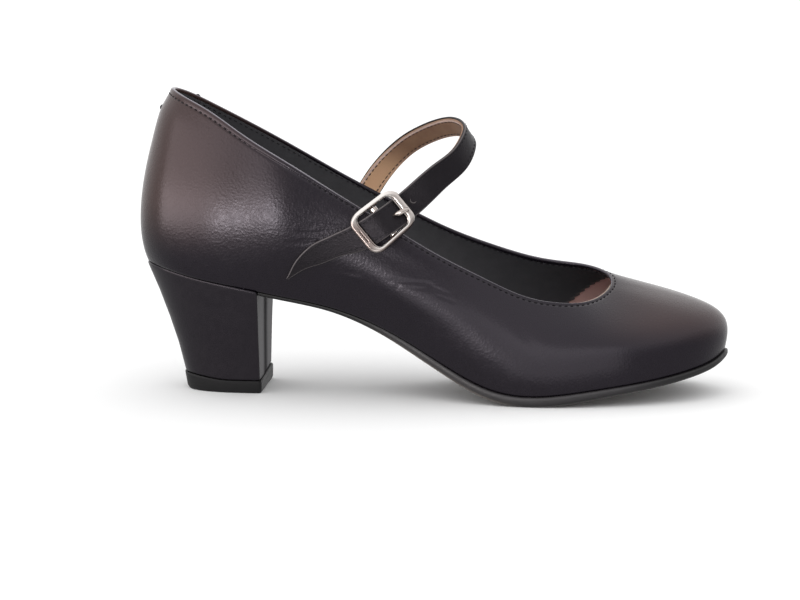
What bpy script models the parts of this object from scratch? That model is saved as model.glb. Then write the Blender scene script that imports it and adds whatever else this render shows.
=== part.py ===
"""Flamenco shoe for the right foot: closed toe, covered block heel and a buckled strap over the instep.

Sizes are in millimetres until a mesh is made. +X points to the toe, +Y to the medial (inner) side of
the foot and +Z up. The shoe stands on its heel and forefoot, and the origin is under the middle of its box.
"""

import math
from collections import namedtuple

import bmesh
import bpy
import numpy as np
from mathutils import Vector

MM = 0.001

# Driving dimensions
LENGTH = 240.0
BALL_WIDTH = 76.0
WALL = 1.6
GAP = 0.3
SOLE_THICKNESS = 4.4
TOE_THICKNESS = 2.9
WAIST_THICKNESS = 2.0
SOLE_MARGIN = 1.2
INSOLE_THICKNESS = 2.4
TOP_LIFT_THICKNESS = 5.0
STRAP_WIDTH = 11.2
STRAP_THICKNESS = 1.8
EDGE_ROUNDING = 0.35
HOLE_RADIUS = 1.35
BUCKLE_LENGTH = 23.1
BUCKLE_WIDTH = 18.3

# Mesh fineness
UPPER_COLUMNS = 84
UPPER_ROWS = 11
SOLE_RINGS = 44
HEEL_RING_POINTS = 40
STRAP_RINGS = 64
FRAME_CORNER_STEPS = 6
FRAME_SIDES = 10

# One row for each section of the upper, from the heel to the toe. The feather edge is where the upper
# meets the sole. x is a share of LENGTH from the middle, half-widths are shares of BALL_WIDTH, and heights
# are in millimetres above the floor. A lean is in degrees from upright: outwards at the feather edge, and
# on the way down from the topline. A reach is how far, in millimetres, the wall keeps to that lean.
Section = namedtuple(
    "Section",
    "name feather_x feather_z feather_lat feather_med "
    "top_x top_lat top_lat_z top_med top_med_z low_lean top_lean low_reach top_reach",
)
SECTIONS = (
    Section("heel back", -0.480, 52.2, 0.000, 0.000, -0.435, 0.000, 122.6, 0.000, 122.6, 24, 33, 22, 10),
    Section("heel corner", -0.452, 51.4, 0.205, 0.205, -0.412, 0.165, 120.6, 0.165, 119.3, 21, 27, 23, 14),
    Section("heel side", -0.400, 48.8, 0.310, 0.310, -0.363, 0.262, 115.3, 0.262, 112.4, 16, 17, 24, 20),
    Section("heel seat", -0.325, 45.3, 0.338, 0.338, -0.298, 0.322, 105.4, 0.322, 103.6, 14, 12, 22, 20),
    Section("heel breast", -0.245, 41.4, 0.325, 0.310, -0.228, 0.355, 95.6, 0.355, 94.0, 17, 10, 20, 19),
    Section("waist back", -0.155, 36.7, 0.320, 0.275, -0.150, 0.372, 84.3, 0.372, 83.3, 20, 10, 18, 17),
    Section("waist", -0.060, 27.9, 0.340, 0.265, -0.062, 0.385, 71.8, 0.385, 72.2, 20, 13, 17, 16),
    Section("waist front", 0.035, 15.0, 0.395, 0.315, 0.025, 0.382, 59.4, 0.382, 62.2, 15, 18, 17, 16),
    Section("ball back", 0.115, 6.2, 0.460, 0.410, 0.098, 0.368, 50.5, 0.368, 56.0, 10, 26, 17, 16),
    Section("ball", 0.195, 4.4, 0.492, 0.475, 0.165, 0.335, 43.0, 0.338, 51.7, 7, 35, 17, 17),
    Section("ball front", 0.285, 6.9, 0.462, 0.490, 0.218, 0.290, 40.0, 0.305, 50.0, 5, 46, 17, 21),
    Section("toe side", 0.375, 9.9, 0.372, 0.437, 0.259, 0.232, 39.4, 0.258, 49.2, 4, 57, 17, 26),
    Section("toe corner", 0.442, 12.9, 0.250, 0.325, 0.288, 0.130, 40.6, 0.175, 48.0, 6, 70, 17.3, 35),
    Section("toe shoulder", 0.483, 15.8, 0.105, 0.190, 0.303, 0.036, 42.9, 0.098, 46.3, 11, 78, 17.3, 43),
    Section("toe tip", 0.4985, 18.0, -0.055, 0.055, 0.306, -0.030, 44.6, 0.030, 44.6, 13, 80, 17.3, 45),
)

# Levels of the covered heel, from the seat down. depth is the share of the way from seat to top lift.
HeelLevel = namedtuple("HeelLevel", "depth back_x breast_x half_width squareness")
HEEL_LEVELS = (
    HeelLevel(0.00, -115.4, -67.2, 26.2, 2.3),
    HeelLevel(0.25, -110.6, -67.3, 23.8, 2.4),
    HeelLevel(0.50, -106.4, -67.4, 21.6, 2.5),
    HeelLevel(0.75, -102.7, -67.4, 19.5, 2.6),
    HeelLevel(1.00, -99.9, -67.4, 17.7, 2.7),
)
HEEL_CORNER = 1.2
CORNER_CUT = 0.3 * HEEL_CORNER

# Levels of the top lift: how far each stands out from the heel's foot at the back, in front and at
# the sides.
LiftLevel = namedtuple("LiftLevel", "z back front side")
TOP_LIFT_LEVELS = (
    LiftLevel(TOP_LIFT_THICKNESS, 0.3, 0.7, 0.4),
    LiftLevel(0.9, -0.6, 0.7, 0.0),
    LiftLevel(0.0, -1.3, 0.2, -0.6),
)
LIFT_BACK_RISE = 1.8
LIFT_BACK_STARTS = 80.0
LIFT_BACK_ENDS = 100.0
LIFT_MEDIAL_RISE = 1.4
LIFT_MEDIAL_STARTS = -10.0
LIFT_MEDIAL_ENDS = 18.0

# The sole's edge in section: shares of its width in from the edge, and of its thickness down from its top.
SoleCorner = namedtuple("SoleCorner", "name inset depth")
SOLE_EDGE = (
    SoleCorner("edge", 0.000, 0.45),
    SoleCorner("edge foot", 0.015, 0.80),
    SoleCorner("bevel", 0.070, 0.97),
    SoleCorner("tread", 0.300, 1.00),
)
WAIST_TUCK = 0.8

# Stretches along x in which the sole thickens out of the waist, spreads out of it, and thins to the toe
WAIST_THICKENS = (-45.0, 2.0)
WAIST_SPREADS = (-25.0, 30.0)
TOE_THINS = (50.0, 85.0)

# Where outlines stop short of the heel's back and of the toe's tip, as shares of the way
HEEL_STOP = 0.03
TOE_STOP = 0.985

# The strap's centreline where it arches free over the instep, from the medial topline to the buckle.
# pitch is how far, in degrees, the strap's width tips down towards the toe, and lean how far it turns to
# the medial side.
StrapPoint = namedtuple("StrapPoint", "name x y z pitch lean half_width")
STRAP_ARCH = (
    StrapPoint("medial rise", -23.9, 28.9, 84.8, 34, 0.15, 4.7),
    StrapPoint("medial shoulder", -13.2, 25.5, 95.8, 48, 0.45, 4.7),
    StrapPoint("medial crown", -1.0, 17.0, 102.4, 50, 0.45, 4.8),
    StrapPoint("crown", 10.3, 4.0, 106.7, 60, 0.40, 4.8),
    StrapPoint("lateral crown", 16.2, -11.5, 103.6, 60, 0.50, 4.9),
    StrapPoint("lateral shoulder", 13.7, -21.0, 96.9, 56, 0.35, 5.1),
    StrapPoint("lateral fall", 5.1, -27.0, 89.6, 55, 0.17, 5.4),
)

# Where the strap lies on the walls of the upper, in the side view. proud is how far its middle stands off
# the wall, and above and below are the half-widths that shape the pointed end.
WallPoint = namedtuple("WallPoint", "name x z pitch proud above below")
STRAP_ROOT = (
    WallPoint("root end", -34.4, 65.8, 29, 1.25, 4.7, 4.7),
    WallPoint("root middle", -30.9, 72.2, 29, 1.25, 4.7, 4.7),
    WallPoint("root at topline", -27.2, 78.6, 29, 1.30, 4.7, 4.7),
)
STRAP_TAIL = (
    WallPoint("tail start", -34.6, 62.8, 64, 1.70, 4.7, 4.6),
    WallPoint("tail shoulder", -42.2, 59.2, 62, 1.40, 4.5, 4.2),
    WallPoint("tail taper", -48.2, 55.3, 54, 1.30, 3.0, 2.5),
    WallPoint("tail tip", -54.4, 49.2, 46, 1.30, 0.4, 0.4),
)

# The buckle sits across the lateral topline. Its own axes run along the strap to the tail, across the
# strap to the sole, and out from the wall, and these sizes are measured along them from the wall.
BUCKLE_X = -16.0
BUCKLE_DROP = 0.3
BUCKLE_SLOPE = 40.6
FRAME_OUT = 4.7
FRAME_THICKNESS = 2.2
RAIL_WIDTH = 1.9
END_BAR_WIDTH = 3.2
FRAME_CORNER = 4.0
FRAME_TAPER = 0.005
BAR_OUT = 2.35
BAR_RADIUS = 0.75
CLIP_SHEET = 0.6
CLIP_WIDTH = 13.6
CLIP_LEG = 7.0
CLIP_LEG_WIDTH = 8.0
CLIP_LEG_OUT = 1.7
CHAPE_WIDTH = 8.0
CHAPE_THICKNESS = 0.8
CHAPE_START = 2.4
CHAPE_END = 14.0
PRONG_RADIUS = 0.8
EYE_START = -0.2
EYE_END = 1.8
KNUCKLE_INSET = 0.1
HOLE_PLACES = (-14.7, -4.6, 7.0)

# The strap's middle where it weaves through the buckle
WeavePoint = namedtuple("WeavePoint", "name along across out")
STRAP_WEAVE = (
    WeavePoint("under the bar by the toe", -10.0, 1.05, 2.3),
    WeavePoint("over the cross bar", 0.0, 0.6, 5.2),
    WeavePoint("under the bar by the tail", 10.0, -0.9, 2.3),
)

# The prong on the buckle's axes: from its eye on the bar, under the strap, through its hole and over the
# end bar
ProngPoint = namedtuple("ProngPoint", "name along across out")
PRONG_ROUTE = (
    ProngPoint("eye", -1.2, 0.8, 2.2),
    ProngPoint("under strap", -2.6, 0.9, 2.0),
    ProngPoint("below hole", -3.7, 0.9, 2.3),
    ProngPoint("in hole", -4.7, 1.0, 4.4),
    ProngPoint("above hole", -5.5, 1.4, 6.3),
    ProngPoint("on end bar", -7.6, 2.0, 7.2),
    ProngPoint("tip", -10.7, 2.8, 7.1),
)

# Colour (linear), roughness and metallic value of each material
FINISHES = {
    "black leather": ((0.020, 0.017, 0.018), 0.42, 0.0),
    "black lining": ((0.016, 0.016, 0.018), 0.75, 0.0),
    "sole leather": ((0.030, 0.026, 0.025), 0.60, 0.0),
    "heel cover": ((0.016, 0.014, 0.016), 0.45, 0.0),
    "top lift rubber": ((0.018, 0.018, 0.019), 0.65, 0.0),
    "nickel": ((0.560, 0.520, 0.490), 0.25, 1.0),
    "elastic": ((0.018, 0.018, 0.018), 0.80, 0.0),
}


# Curves


def hermite(start, end, start_slope, end_slope, part):
    """A cubic from start to end with these slopes, read at part, from 0 to 1."""
    square, cube = part**2, part**3
    return (
        (2 * cube - 3 * square + 1) * start
        + (cube - 2 * square + part) * start_slope
        + (3 * square - 2 * cube) * end
        + (cube - square) * end_slope
    )


def closed_spline(points, knot_columns):
    """A function of 0 to 1 that runs once round a smooth closed curve, and each point's share of it."""
    count = len(points)
    following = np.roll(points, -1, axis=0)
    steps = np.linalg.norm((following - points)[:, :knot_columns], axis=1)
    ahead = (following - points) / steps[:, None]
    before = np.roll(steps, 1)
    balance = np.diag(2 * (before + steps))
    for i in range(count):
        balance[i, i - 1] += steps[i]
        balance[i, (i + 1) % count] += before[i]
    sums = 3 * (steps[:, None] * np.roll(ahead, 1, axis=0) + before[:, None] * ahead)
    slopes = np.linalg.solve(balance, sums)
    knots = np.concatenate([[0.0], np.cumsum(steps)])

    def at(share):
        place = np.mod(share, 1.0) * knots[-1]
        i = np.clip(np.searchsorted(knots, place, side="right") - 1, 0, count - 1)
        j = (i + 1) % count
        step = np.asarray(steps[i])[..., None]
        part = (np.asarray(place) - knots[i])[..., None] / step
        return hermite(points[i], points[j], slopes[i] * step, slopes[j] * step, part)

    return at, knots[:-1] / knots[-1]


def open_spline(points, count):
    """count evenly spaced points on a smooth curve through the points."""
    points = np.asarray(points, float)
    steps = np.linalg.norm(np.diff(points[:, :3], axis=0), axis=1)
    knots = np.concatenate([[0.0], np.cumsum(steps)])
    slopes = np.gradient(points, knots, axis=0)
    place = np.linspace(0.0, knots[-1], count)
    i = np.clip(np.searchsorted(knots, place, side="right") - 1, 0, len(steps) - 1)
    step = steps[i][:, None]
    part = (place - knots[i])[:, None] / step
    return hermite(points[i], points[i + 1], slopes[i] * step, slopes[i + 1] * step, part)


def unit(vectors):
    return vectors / np.linalg.norm(vectors, axis=-1, keepdims=True)


def outward(run):
    """The level direction to the right of a level run: outwards, on a loop that turns to the left."""
    flat = np.stack([run[..., 1], -run[..., 0], np.zeros_like(run[..., 0])], axis=-1)
    return unit(flat)


# The upper's outer surface


def control(row, side):
    """The values of one section on one side: -1 is lateral and +1 medial."""
    feather_half, top_half, top_z = (
        (row.feather_lat, row.top_lat, row.top_lat_z)
        if side < 0
        else (row.feather_med, row.top_med, row.top_med_z)
    )
    feather = (row.feather_x * LENGTH, side * feather_half * BALL_WIDTH, row.feather_z)
    top = (row.top_x * LENGTH, side * top_half * BALL_WIDTH, top_z)
    return (*feather, *top, row.low_lean, row.top_lean, row.low_reach, row.top_reach)


CONTROLS = np.array(
    [control(row, -1) for row in SECTIONS] + [control(row, 1) for row in SECTIONS[-2:0:-1]]
)
RING, SHARES = closed_spline(CONTROLS, knot_columns=6)
TOE_SHARE = SHARES[len(SECTIONS) - 1]
UP = np.array([0.0, 0.0, 1.0])
FLOOR = np.array([-math.inf, -math.inf, 0.0])
NUDGE = 1e-4


def upper_surface(share, rise):
    """A point of the upper's outer face. share runs round the shoe from the heel by the lateral side, and
    rise from the feather edge, 0, to the topline, 1."""
    share, rise = np.broadcast_arrays(np.asarray(share, float), np.asarray(rise, float))
    row = RING(share)
    run = RING(share + NUDGE) - RING(share - NUDGE)
    low_lean, top_lean = np.radians(row[..., 6:7]), np.radians(row[..., 7:8])
    low = row[..., 0:3]
    top = row[..., 3:6]
    low_handle = low + row[..., 8:9] * (np.sin(low_lean) * outward(run[..., 0:2]) + np.cos(low_lean) * UP)
    top_handle = top + row[..., 9:10] * (np.sin(top_lean) * outward(run[..., 3:5]) - np.cos(top_lean) * UP)
    part = rise[..., None]
    rest = 1 - part
    return rest**3 * low + 3 * rest**2 * part * low_handle + 3 * rest * part**2 * top_handle + part**3 * top


def upper_normal(share, rise):
    along = upper_surface(share + NUDGE, rise) - upper_surface(share - NUDGE, rise)
    up = upper_surface(share, rise + NUDGE) - upper_surface(share, rise - NUDGE)
    return unit(np.cross(along, up))


def on_wall(x, z, side):
    """The point and outward normal of the upper's outer face that the side view shows at x and z."""
    shares = np.linspace(0.0, TOE_SHARE, 120) if side < 0 else np.linspace(1.0, TOE_SHARE, 120)
    share_grid, rise_grid = np.meshgrid(shares, np.linspace(0.0, 1.05, 50), indexing="ij")
    spread = upper_surface(share_grid, rise_grid) - np.array([x, 0.0, z])
    nearest = np.argmin(spread[..., 0] ** 2 + spread[..., 2] ** 2)
    place = np.array([share_grid.flat[nearest], rise_grid.flat[nearest]])
    for _ in range(6):
        miss = upper_surface(*place)[[0, 2]] - np.array([x, z])
        turn = np.stack(
            [
                upper_surface(place[0] + NUDGE, place[1]) - upper_surface(place[0] - NUDGE, place[1]),
                upper_surface(place[0], place[1] + NUDGE) - upper_surface(place[0], place[1] - NUDGE),
            ],
            axis=1,
        )
        place = place - np.linalg.solve(turn[[0, 2]] / (2 * NUDGE), miss)
    return upper_surface(*place), upper_normal(*place)


# The sole's outlines, from the feather edge


def feather_edges(x, spread):
    """The lateral and medial points of the feather outline at x, moved out level by spread."""
    edges = []
    for shares in (np.linspace(0.0, TOE_SHARE, 300), np.linspace(1.0, TOE_SHARE, 300)):
        run = RING(shares + NUDGE) - RING(shares - NUDGE)
        line = RING(shares)[:, 0:3] + spread * outward(run[:, 0:2])
        edges.append(np.array([x] + [np.interp(x, line[:, 0], line[:, column]) for column in (1, 2)]))
    return edges


def outline_stations(start_x, spread, count):
    """x places to the toe's tip, closest there, from start_x, or from the heel's back if it is None."""
    first = RING(0.0)[0] - spread
    last = RING(TOE_SHARE)[0] + spread
    if start_x is None:
        turns = np.linspace(HEEL_STOP, 1.0, count) * math.pi * TOE_STOP
        return first + (last - first) * (1 - np.cos(turns)) / 2
    return start_x + (last - start_x) * np.sin(np.linspace(0.0, TOE_STOP, count) * math.pi / 2)


def ease(value, low, high):
    """0 below low, 1 above high, and smooth between."""
    part = np.clip((value - low) / (high - low), 0.0, 1.0)
    return part * part * (3 - 2 * part)


# Mesh helpers


def link(name, mesh, finish, collection, parent):
    obj = bpy.data.objects.new(name, mesh)
    collection.objects.link(obj)
    obj.parent = parent
    mesh.materials.append(finish)
    return obj


def smooth(mesh, angle=40):
    mesh.shade_smooth()
    mesh.set_sharp_from_angle(angle=math.radians(angle))


def zip_faces(ring):
    """Faces across a ring that is alike on both sides of its first point."""
    count = len(ring)
    half = count // 2
    yield ring[0], ring[1], ring[-1]
    for i in range(1, half - 1):
        yield ring[i], ring[i + 1], ring[count - i - 1], ring[count - i]
    yield ring[half - 1], ring[half], ring[half + 1]


def loft(name, rings, ends="flat"):
    """A closed mesh through rings of points: its ends are flat, zipped across, or joined to each other."""
    shape = bmesh.new()
    rows = [[shape.verts.new(Vector(point) * MM) for point in ring] for ring in rings]
    pairs = list(zip(rows, rows[1:]))
    if ends == "joined":
        pairs.append((rows[-1], rows[0]))
    for lower, upper in pairs:
        for i, vertex in enumerate(lower):
            following = (i + 1) % len(lower)
            shape.faces.new((vertex, lower[following], upper[following], upper[i]))
    if ends == "flat":
        shape.faces.new(rows[0])
        shape.faces.new(rows[-1])
    elif ends == "zipped":
        for ring in (rows[0], rows[-1]):
            for corners in zip_faces(ring):
                shape.faces.new(corners)
    bmesh.ops.recalc_face_normals(shape, faces=shape.faces)
    mesh = bpy.data.meshes.new(name)
    shape.to_mesh(mesh)
    shape.free()
    smooth(mesh)
    return mesh


def band(centre, width, run, above, below, thickness):
    """An eight-sided ring of a flat strip with these directions of width and run."""
    depth = unit(np.cross(width, run))
    edge = EDGE_ROUNDING * thickness
    half = thickness / 2
    corners = (
        (-above + edge, half),
        (below - edge, half),
        (below, half - edge),
        (below, edge - half),
        (below - edge, -half),
        (edge - above, -half),
        (-above, edge - half),
        (-above, half - edge),
    )
    return [centre + across * width + out * depth for across, out in corners]


def boolean(target, other, operation):
    change = target.modifiers.new(operation.lower(), "BOOLEAN")
    change.operation = operation
    change.object = other
    change.solver = "EXACT"


def round_bar(name, points, radius, resolution=2):
    """A mesh rod of round section along straight runs between the points."""
    curve = bpy.data.curves.new(name, "CURVE")
    curve.dimensions = "3D"
    curve.bevel_depth = radius * MM
    curve.bevel_resolution = resolution
    curve.use_fill_caps = True
    spline = curve.splines.new("POLY")
    spline.points.add(len(points) - 1)
    for place, point in zip(spline.points, points):
        place.co = (*(Vector(point) * MM), 1.0)
    holder = bpy.data.objects.new(name, curve)
    bpy.context.scene.collection.objects.link(holder)
    bpy.context.view_layer.update()
    mesh = bpy.data.meshes.new_from_object(holder.evaluated_get(bpy.context.evaluated_depsgraph_get()))
    bpy.data.objects.remove(holder)
    shape = bmesh.new()
    shape.from_mesh(mesh)
    bmesh.ops.remove_doubles(shape, verts=shape.verts, dist=0.01 * MM)
    bmesh.ops.recalc_face_normals(shape, faces=shape.faces)
    shape.to_mesh(mesh)
    shape.free()
    mesh.name = name
    smooth(mesh)
    return mesh


# The upper, insole and sole


def upper_mesh():
    """The outer face as an open grid round the shoe; its wall is made by thickening it inwards."""
    shares = np.arange(UPPER_COLUMNS) / UPPER_COLUMNS
    rises = np.linspace(0.0, 1.0, UPPER_ROWS + 1)
    points = upper_surface(shares[None, :], rises[:, None])
    shape = bmesh.new()
    rows = [[shape.verts.new(Vector(point) * MM) for point in row] for row in points]
    for lower, upper in zip(rows, rows[1:]):
        for i, vertex in enumerate(lower):
            following = (i + 1) % UPPER_COLUMNS
            shape.faces.new((vertex, lower[following], upper[following], upper[i]))
    mesh = bpy.data.meshes.new("upper")
    shape.to_mesh(mesh)
    shape.free()
    mesh.shade_smooth()
    return mesh


def thicken(obj, thickness):
    wall = obj.modifiers.new("wall", "SOLIDIFY")
    wall.thickness = thickness * MM
    wall.offset = -1.0
    wall.use_even_offset = True
    wall.use_quality_normals = True


def insole_mesh():
    """A sheet on the sole that fills the foot of the upper, from heel to toe."""
    spread = -(WALL + 2 * GAP)
    rings = []
    for x in outline_stations(None, spread, SOLE_RINGS):
        lateral, medial = feather_edges(x, spread)
        below = [lateral + (medial - lateral) * part for part in (0.0, 0.25, 0.5, 0.75, 1.0)]
        lift = UP * INSOLE_THICKNESS
        rings.append(below + [point + lift for point in reversed(below)])
    return loft("insole", rings)


def sole_thickness(x):
    thickening = (SOLE_THICKNESS - WAIST_THICKNESS) * ease(x, *WAIST_THICKENS)
    return WAIST_THICKNESS + thickening - (SOLE_THICKNESS - TOE_THICKNESS) * ease(x, *TOE_THINS)


def sole_spread(x):
    """How far the sole's edge stands out from the feather edge: tucked in under the waist."""
    return -WAIST_TUCK + (SOLE_MARGIN + WAIST_TUCK) * ease(x, *WAIST_SPREADS)


def outsole_mesh():
    """The leather sole from the heel's breast to the toe, with its edge rounded underneath."""
    rings = []
    breast = HEEL_LEVELS[0].breast_x + GAP
    for x in outline_stations(breast, SOLE_MARGIN, SOLE_RINGS):
        lateral, medial = feather_edges(x, sole_spread(x))
        lateral, medial = lateral - UP * GAP, medial - UP * GAP
        thickness = sole_thickness(x)
        across = medial - lateral
        top = [lateral + across * part for part in (0.0, 0.3, 0.7, 1.0)]
        half = [across * corner.inset - UP * thickness * corner.depth for corner in SOLE_EDGE]
        other = [across * (1 - corner.inset) - UP * thickness * corner.depth for corner in SOLE_EDGE]
        under = [lateral + step for step in other + half[::-1]]
        rings.append(top + [np.maximum(point, FLOOR) for point in under])
    return loft("outsole", rings)


# The heel


def heel_outline(level):
    """Half of a heel level, from the middle of its flat breast by the lateral side to its round back."""
    half_points = HEEL_RING_POINTS // 2
    corner = [
        (level.breast_x, 0.0),
        (level.breast_x, -0.5 * level.half_width),
        (level.breast_x, -(level.half_width - HEEL_CORNER)),
        (level.breast_x - CORNER_CUT, -(level.half_width - CORNER_CUT)),
    ]
    depth = level.breast_x - level.back_x - HEEL_CORNER
    for turn in np.linspace(0.0, math.pi / 2, half_points + 1 - len(corner)):
        x = level.breast_x - HEEL_CORNER - depth * math.sin(turn) ** (2 / level.squareness)
        y = -level.half_width * math.cos(turn) ** (2 / level.squareness) if turn < math.pi / 2 else 0.0
        corner.append((x, y))
    return corner


def both_sides(half):
    """A whole ring from a half that starts and ends on the middle line."""
    return half + [(x, -y) for x, y in reversed(half[1:-1])]


def seat_height(x, y):
    lateral, medial = feather_edges(max(x, RING(0.0)[0] + GAP), 0.0)
    part = np.clip((y - lateral[1]) / (medial[1] - lateral[1]), 0.0, 1.0)
    return lateral[2] + (medial[2] - lateral[2]) * part - GAP


def lift_height(x, y):
    """How thick the top lift is: thicker at its back and on its medial side."""
    back = LIFT_BACK_RISE * ease(-x, LIFT_BACK_STARTS, LIFT_BACK_ENDS)
    medial = LIFT_MEDIAL_RISE * ease(y, LIFT_MEDIAL_STARTS, LIFT_MEDIAL_ENDS)
    return TOP_LIFT_THICKNESS + back + medial


def heel_rings():
    """Rings of the covered heel: the highest lies along the seat, and the lowest on the top lift."""
    seat = [seat_height(x, y) for x, y in both_sides(heel_outline(HEEL_LEVELS[0]))]
    foot = [lift_height(x, y) + GAP for x, y in both_sides(heel_outline(HEEL_LEVELS[-1]))]
    rings = []
    for level in HEEL_LEVELS:
        outline = both_sides(heel_outline(level))
        rings.append(
            [(x, y, top + (low - top) * level.depth) for (x, y), top, low in zip(outline, seat, foot)]
        )
    return rings


def top_lift_mesh():
    """The rubber top lift: a plate a little larger than the heel's foot, with its lower edge rounded."""
    foot = HEEL_LEVELS[-1]
    rings = []
    for row in TOP_LIFT_LEVELS:
        level = foot._replace(
            back_x=foot.back_x - row.back,
            breast_x=foot.breast_x + row.front,
            half_width=foot.half_width + row.side,
        )
        share = row.z / TOP_LIFT_THICKNESS
        rings.append([(x, y, share * lift_height(x, y)) for x, y in both_sides(heel_outline(level))])
    return loft("heel_top_lift", rings, ends="zipped")


# The strap and buckle


class BuckleAxes:
    """The buckle's own axes on the lateral wall: along to the tail, across to the sole, and out."""

    def __init__(self):
        shares = np.linspace(0.0, TOE_SHARE, 400)
        topline = RING(shares)[:, 3:6]
        height = np.interp(BUCKLE_X, topline[:, 0], topline[:, 2])
        self.origin, self.out = on_wall(BUCKLE_X, height - BUCKLE_DROP, -1)
        slope = math.radians(BUCKLE_SLOPE)
        along = np.array([-math.cos(slope), 0.0, -math.sin(slope)])
        self.along = unit(along - self.out * (along @ self.out))
        self.across = np.cross(self.out, self.along)

    def at(self, along, across, out):
        return self.origin + along * self.along + across * self.across + out * self.out


def wall_rows(table, side):
    """Route rows of the strap on a wall: centre, width direction and half-widths."""
    rows = []
    for row in table:
        point, normal = on_wall(row.x, row.z, side)
        pitch = math.radians(row.pitch)
        width = np.array([math.cos(pitch), 0.0, -math.sin(pitch)])
        width = unit(width - normal * (width @ normal))
        rows.append((*(point + row.proud * normal), *width, row.above, row.below))
    return rows


def strap_across(along):
    """How far across the buckle the strap's middle lies."""
    return np.interp(along, [row.along for row in STRAP_WEAVE], [row.across for row in STRAP_WEAVE])


def strap_rows(axes):
    half = STRAP_WIDTH / 2
    rows = wall_rows(STRAP_ROOT, 1)
    for row in STRAP_ARCH:
        pitch = math.radians(row.pitch)
        width = unit(np.array([math.cos(pitch), row.lean, -math.sin(pitch)]))
        rows.append((row.x, row.y, row.z, *width, row.half_width, row.half_width))
    for row in STRAP_WEAVE:
        rows.append((*axes.at(row.along, row.across, row.out), *axes.across, half, half))
    return rows + wall_rows(STRAP_TAIL, -1)


def strap_mesh(axes):
    route = open_spline(strap_rows(axes), STRAP_RINGS)
    centres = route[:, 0:3]
    runs = unit(np.gradient(centres, axis=0))
    rings = []
    for row, run in zip(route, runs):
        width = row[3:6] - run * (row[3:6] @ run)
        rings.append(band(row[0:3], unit(width), run, row[6], row[7], STRAP_THICKNESS))
    return loft("instep_strap", rings)


def frame_rings(axes):
    """The buckle's frame: an oval section run round a rounded outline that widens to the tail."""
    half_length = BUCKLE_LENGTH / 2 - END_BAR_WIDTH / 2
    half_width = BUCKLE_WIDTH / 2 - RAIL_WIDTH / 2
    rings = []
    for corner, turn in ((1, 0), (2, 90), (3, 180), (4, 270)):
        side_along = 1 if corner in (1, 4) else -1
        side_across = 1 if corner in (1, 2) else -1
        middle = (side_along * (half_length - FRAME_CORNER), side_across * (half_width - FRAME_CORNER))
        for step in range(FRAME_CORNER_STEPS + 1):
            angle = math.radians(turn + 90 * step / FRAME_CORNER_STEPS)
            heading = (math.cos(angle), math.sin(angle))
            along = middle[0] + FRAME_CORNER * heading[0]
            across = middle[1] + FRAME_CORNER * heading[1]
            centre = axes.at(along, across * (1 + FRAME_TAPER * along), FRAME_OUT)
            away = heading[0] * axes.along + heading[1] * axes.across
            wide = RAIL_WIDTH + (END_BAR_WIDTH - RAIL_WIDTH) * heading[0] ** 2
            turns = [2 * math.pi * i / FRAME_SIDES for i in range(FRAME_SIDES)]
            rings.append(
                [
                    centre
                    + away * wide / 2 * math.cos(around)
                    + axes.out * FRAME_THICKNESS / 2 * math.sin(around)
                    for around in turns
                ]
            )
    return rings


def bar_points(axes):
    """The cross bar: sunk under the strap, its ends turned out into the frame's rails."""
    reach = BUCKLE_WIDTH / 2 - RAIL_WIDTH / 2
    places = ((-reach, FRAME_OUT), (-reach, BAR_OUT), (reach, BAR_OUT), (reach, FRAME_OUT))
    return [axes.at(0.0, across, out) for across, out in places]


def sleeve(name, axes, start, end, inner, outer, count=12):
    """A ring round the cross bar between two places across."""
    rings = []
    for across, radius in ((start, inner), (start, outer), (end, outer), (end, inner)):
        turns = (2 * math.pi * i / count for i in range(count))
        rings.append(
            [axes.at(radius * math.cos(a), across, BAR_OUT + radius * math.sin(a)) for a in turns]
        )
    return loft(name, rings, ends="joined")


def plate(name, axes, along, across, out):
    """A flat block between two places on each of the buckle's axes."""
    rings = []
    for place in along:
        corners = ((across[0], out[0]), (across[1], out[0]), (across[1], out[1]), (across[0], out[1]))
        rings.append([axes.at(place, *corner) for corner in corners])
    return loft(name, rings)


def chape_mesh(axes):
    """The elastic strip that holds the clip, sewn to the wall under the strap's tail."""
    rings = []
    for along in np.linspace(CHAPE_START, CHAPE_END, 10):
        near = axes.at(along, strap_across(along), 0.0)
        point, normal = on_wall(near[0], near[2], -1)
        width = unit(axes.across - normal * (axes.across @ normal))
        run = unit(np.cross(width, normal))
        centre = point + normal * (GAP + CHAPE_THICKNESS / 2)
        rings.append(band(centre, width, run, CHAPE_WIDTH / 2, CHAPE_WIDTH / 2, CHAPE_THICKNESS))
    return loft("buckle_chape", rings)


def hole_cutter(axes, place):
    """A short rod through the strap where a hole is punched."""
    _, over, under = STRAP_WEAVE
    out = over.out + (under.out - over.out) * ease(abs(place), over.along, under.along)
    across = strap_across(place)
    ends = [axes.at(place, across, out + reach) for reach in (-STRAP_THICKNESS, STRAP_THICKNESS)]
    return round_bar("strap_hole", ends, HOLE_RADIUS)


# Assembly


def material(name):
    colour, roughness, metallic = FINISHES[name]
    made = bpy.data.materials.new(name)
    made.use_nodes = True
    shader = made.node_tree.nodes["Principled BSDF"]
    shader.inputs["Base Color"].default_value = (*colour, 1.0)
    shader.inputs["Roughness"].default_value = roughness
    shader.inputs["Metallic"].default_value = metallic
    return made


def helper(name, mesh, collection, parent):
    """A shape that only cuts or joins."""
    obj = bpy.data.objects.new(name, mesh)
    collection.objects.link(obj)
    obj.parent = parent
    obj.hide_render = True
    obj.display_type = "WIRE"
    return obj


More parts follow.
